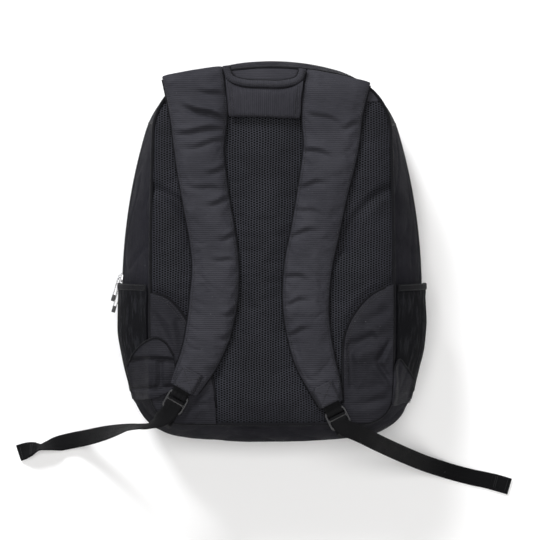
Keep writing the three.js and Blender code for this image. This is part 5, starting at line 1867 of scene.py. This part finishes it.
def add_front_panel():
    """The plain front panel that the bag lies on, inside the front piping."""

    def depth(x, y):
        rim, way = BELLY.depth(x, y)
        return rim - FRONT_TUCK - 2.8 * MM, way

    low = Vector((-BELLY.half, BELLY.point(5).y))
    high = Vector((BELLY.half, BELLY.point(0).y))

    def height(x, y):
        hollow = clamp(depth(x, y)[0] / (40 * MM))
        return FRONT_Z + (0.4 + 0.6 * hollow * (1 + noise.noise(Vector((x * 20, y * 20, 120))))) * MM

    bm = trimmed_grid(low, high, 6 * MM, depth, height)
    bmesh.ops.reverse_faces(bm, faces=bm.faces)
    piece = finish_piece("front_wall_panel", bm, PANEL_NYLON, nodes=["front_panel"])
    thicken(piece, 1.2 * MM, 1.0)


def add_pocket_wall(name, start, end, low, high, node, seed):
    """One wall of the front pocket, softly dented between its seams."""
    first, last = POCKET.run(start), POCKET.run(end)

    def place(s, t):
        run, z = lerp(first, last, s), lerp(low, high, t)
        held = ease(min(t, 1 - t) * 4) * ease(min(s, 1 - s) * 12)
        dent = 1.2 * MM * held * (0.5 + noise.noise(Vector((run * 22, z * 34, seed))))
        x, y = POCKET.point(POCKET.turn_at(run), -0.2 * MM - dent)
        return Vector((x, y, z))

    rows = max(3, round((high - low) / (3 * MM)))
    bm = laid_grid(round((last - first) / (4 * MM)), rows, place, (last - first, high - low))
    turn_out(bm, Vector((0, -0.04, (low + high) / 2)))
    piece = finish_piece(name, bm, BODY_NYLON, nodes=[node])
    thicken(piece, 1.3 * MM)


def add_pocket_face():
    """The front pocket's face, which touches the floor, and its piping."""
    low = Vector((-POCKET.half, POCKET.point(5).y))
    high = Vector((POCKET.half, POCKET.point(0).y))

    def height(x, y):
        rim = POCKET.depth(x, y)[0]
        ripple = 1 + noise.noise(Vector((x * 30, y * 24, 130)))
        return 0.5 * MM + 0.7 * MM * exp(-rim / (8 * MM)) + 0.25 * MM * ripple

    bm = trimmed_grid(low, high, 5 * MM, POCKET.depth, height)
    bmesh.ops.reverse_faces(bm, faces=bm.faces)
    piece = finish_piece("pocket_front", bm, PANEL_NYLON, nodes=["pocket_face"])
    thicken(piece, 0.45 * MM, 0.0)
    edge = rim_loop(POCKET, -0.9 * MM, 1.6 * MM, 4 * MM)
    finish_piece("pocket_front_piping", pipe(edge, 1.4 * MM, 8, closed=True), PIPING)


def add_front_pocket():
    """The front pocket's walls, zip and seams; gives the level of its zip."""
    end = 2.5
    zip_z = (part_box("pocket_zip_tape")[0].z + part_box("pocket_zip_tape")[1].z) / 2
    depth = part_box("pocket_gusset")[1].z
    face_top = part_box("pocket_gusset")[0].z - 0.6 * MM
    half = 4 * MM
    add_pocket_wall("pocket_arch_outer", -end, end, face_top, zip_z - half, "pocket_arch_front", 140)
    add_pocket_wall("pocket_arch_inner", -end, end, zip_z + half, depth, "pocket_arch_back", 150)
    add_pocket_wall("pocket_sides", end, 10 - end, face_top, depth, "pocket_gusset", 160)
    lap = 0.6 * MM
    add_tape("pocket_tape", POCKET, -end, end, zip_z - half - lap, zip_z + half + lap, "pocket_zip_tape")
    add_coil("pocket_coil", POCKET, -end, end, zip_z, "pocket_zip_coil")
    seams = bmesh.new()
    for u in (end, -end):
        line = [Vector((*POCKET.point(u, -0.2 * MM), lerp(2 * MM, depth, i / 10))) for i in range(11)]
        join_into(seams, pipe(line, 0.9 * MM, 8))
    finish_piece("pocket_seams", seams, PIPING)
    return zip_z


# ---------- zip sliders ----------

PLATE_OUT = 1.8 * MM  # underside of a slider's top plate off the zip line
HINGE_OUT = 4.5 * MM
PULL_LEAN = pi / 2 - radians(15)


def slider_solid(seat):
    """Zip slider in its own frame: x off the bag, y along the zip, z across it."""
    bm = bmesh.new()
    at = Matrix.Translation
    rounded_block(bm, (1.1 * MM, 11 * MM, 8.4 * MM), at((PLATE_OUT + 0.5 * MM, 0, 0)), 0.45 * MM, 3)
    for vert in bm.verts:
        if vert.co.y < 0:
            vert.co.z *= lerp(1, 0.74, clamp(-vert.co.y / (5.5 * MM)))
    for side in (-1, 1):
        rounded_block(bm, (2.4 * MM, 9.6 * MM, 1.0 * MM), at((1.2 * MM, 0.4 * MM, side * 2.5 * MM)), 0.3 * MM)
    arch = [
        (2.6, -3.1), (4.6, -3.2), (5.6, -2.4), (5.9, -0.8), (5.9, 0.8), (5.6, 2.4), (4.6, 3.2), (2.6, 3.1),
    ]
    bail = Route([Vector((x, y, 0)) * MM for x, y in arch])
    join_into(bm, pipe([bail.at(i / 24)[0] for i in range(25)], 0.5 * MM, 8))
    bmesh.ops.transform(bm, matrix=seat, verts=bm.verts)
    return bm


def pull_solids(hinge, side):
    """Open rod pull with a soft tip: its hinge bar on z, its frame along x, on one side of z."""
    metal = bmesh.new()
    tip = bmesh.new()
    z = side * 2.55 * MM
    half = 1.6 * MM
    rod = [
        (7, half), (2, half), (0.2, half * 0.86), (-0.9, half * 0.4),
        (-0.9, -half * 0.4), (0.2, -half * 0.86), (2, -half), (7, -half),
    ]
    bow = Route([Vector((x * MM, y, z)) for x, y in rod])
    join_into(metal, pipe([bow.at(i / 30)[0] for i in range(31)], 0.6 * MM, 8))
    for y in (half, -half):
        rails = [Vector((lerp(6.5, 22.5, i / 10) * MM, y * lerp(1, 1.12, i / 10), z)) for i in range(11)]
        join_into(metal, pipe(rails, 0.6 * MM, 8))
    bar = [Vector((0, 0, lerp(-side * 1.0 * MM, z, i / 6))) for i in range(7)]
    join_into(metal, pipe(bar, 0.62 * MM, 10))
    rounded_block(metal, (1.3 * MM, 4.2 * MM, 1.35 * MM), Matrix.Translation((7 * MM, 0, z)), 0.35 * MM)
    rounded_block(metal, (1.6 * MM, 4.6 * MM, 1.4 * MM), Matrix.Translation((21.6 * MM, 0, z)), 0.4 * MM)
    rounded_block(tip, (8.6 * MM, 4.5 * MM, 1.5 * MM), Matrix.Translation((25.6 * MM, 0, z)), 0.6 * MM, 3)
    for i in range(4):
        ridge = Matrix.Translation(((23.4 + 1.5 * i) * MM, 0, z))
        rounded_block(tip, (0.7 * MM, 4.8 * MM, 1.7 * MM), ridge, 0.25 * MM)
    for bm in (metal, tip):
        bmesh.ops.transform(bm, matrix=hinge, verts=bm.verts)
    return metal, tip


def add_zip_slider(name, centre, radius, z, angle, side):
    """A slider on the arc its zip follows, and the pull hinged on its bail."""
    turned = Matrix.Translation((*centre, z)) @ Matrix.Rotation(angle, 4, "Z")
    seat = turned @ Matrix.Translation((radius, 0, 0))
    body = f"{name}_slider"
    finish_piece(f"{name}_slider_body", slider_solid(seat), NICKEL, body=body, nodes=[body])
    hinge = seat @ Matrix.Translation((HINGE_OUT, 0, 0)) @ Matrix.Rotation(PULL_LEAN, 4, "Z")
    metal, tip = pull_solids(hinge, side)
    pull = f"{name}_pull"
    finish_piece(f"{name}_pull_rod", metal, NICKEL, body=pull, nodes=[pull])
    finish_piece(f"{name}_pull_tip", tip, TIP, body=pull)


def add_zip_sliders(pocket_zip_z):
    """Two sliders on the left side's arc of the main zip, one on the top arc of the pocket's."""
    x, y, radius, _, _ = BELLY.arcs[2]
    for name, at_y, side in (("main_upper", -0.0305, 1), ("main_lower", -0.044, -1)):
        add_zip_slider(name, (-x, y), radius, ZIP_Z, pi - asin((at_y - y) / radius), side)
    x, y, radius, _, _ = POCKET.arcs[0]
    add_zip_slider("pocket", (x, y), radius, pocket_zip_z, pi / 2 + radians(12), 1)


add_front_panel()
add_pocket_face()
add_zip_sliders(add_front_pocket())

frame_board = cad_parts["frame_sheet"].data
frame_board.materials.clear()
frame_board.materials.append(BOARD)
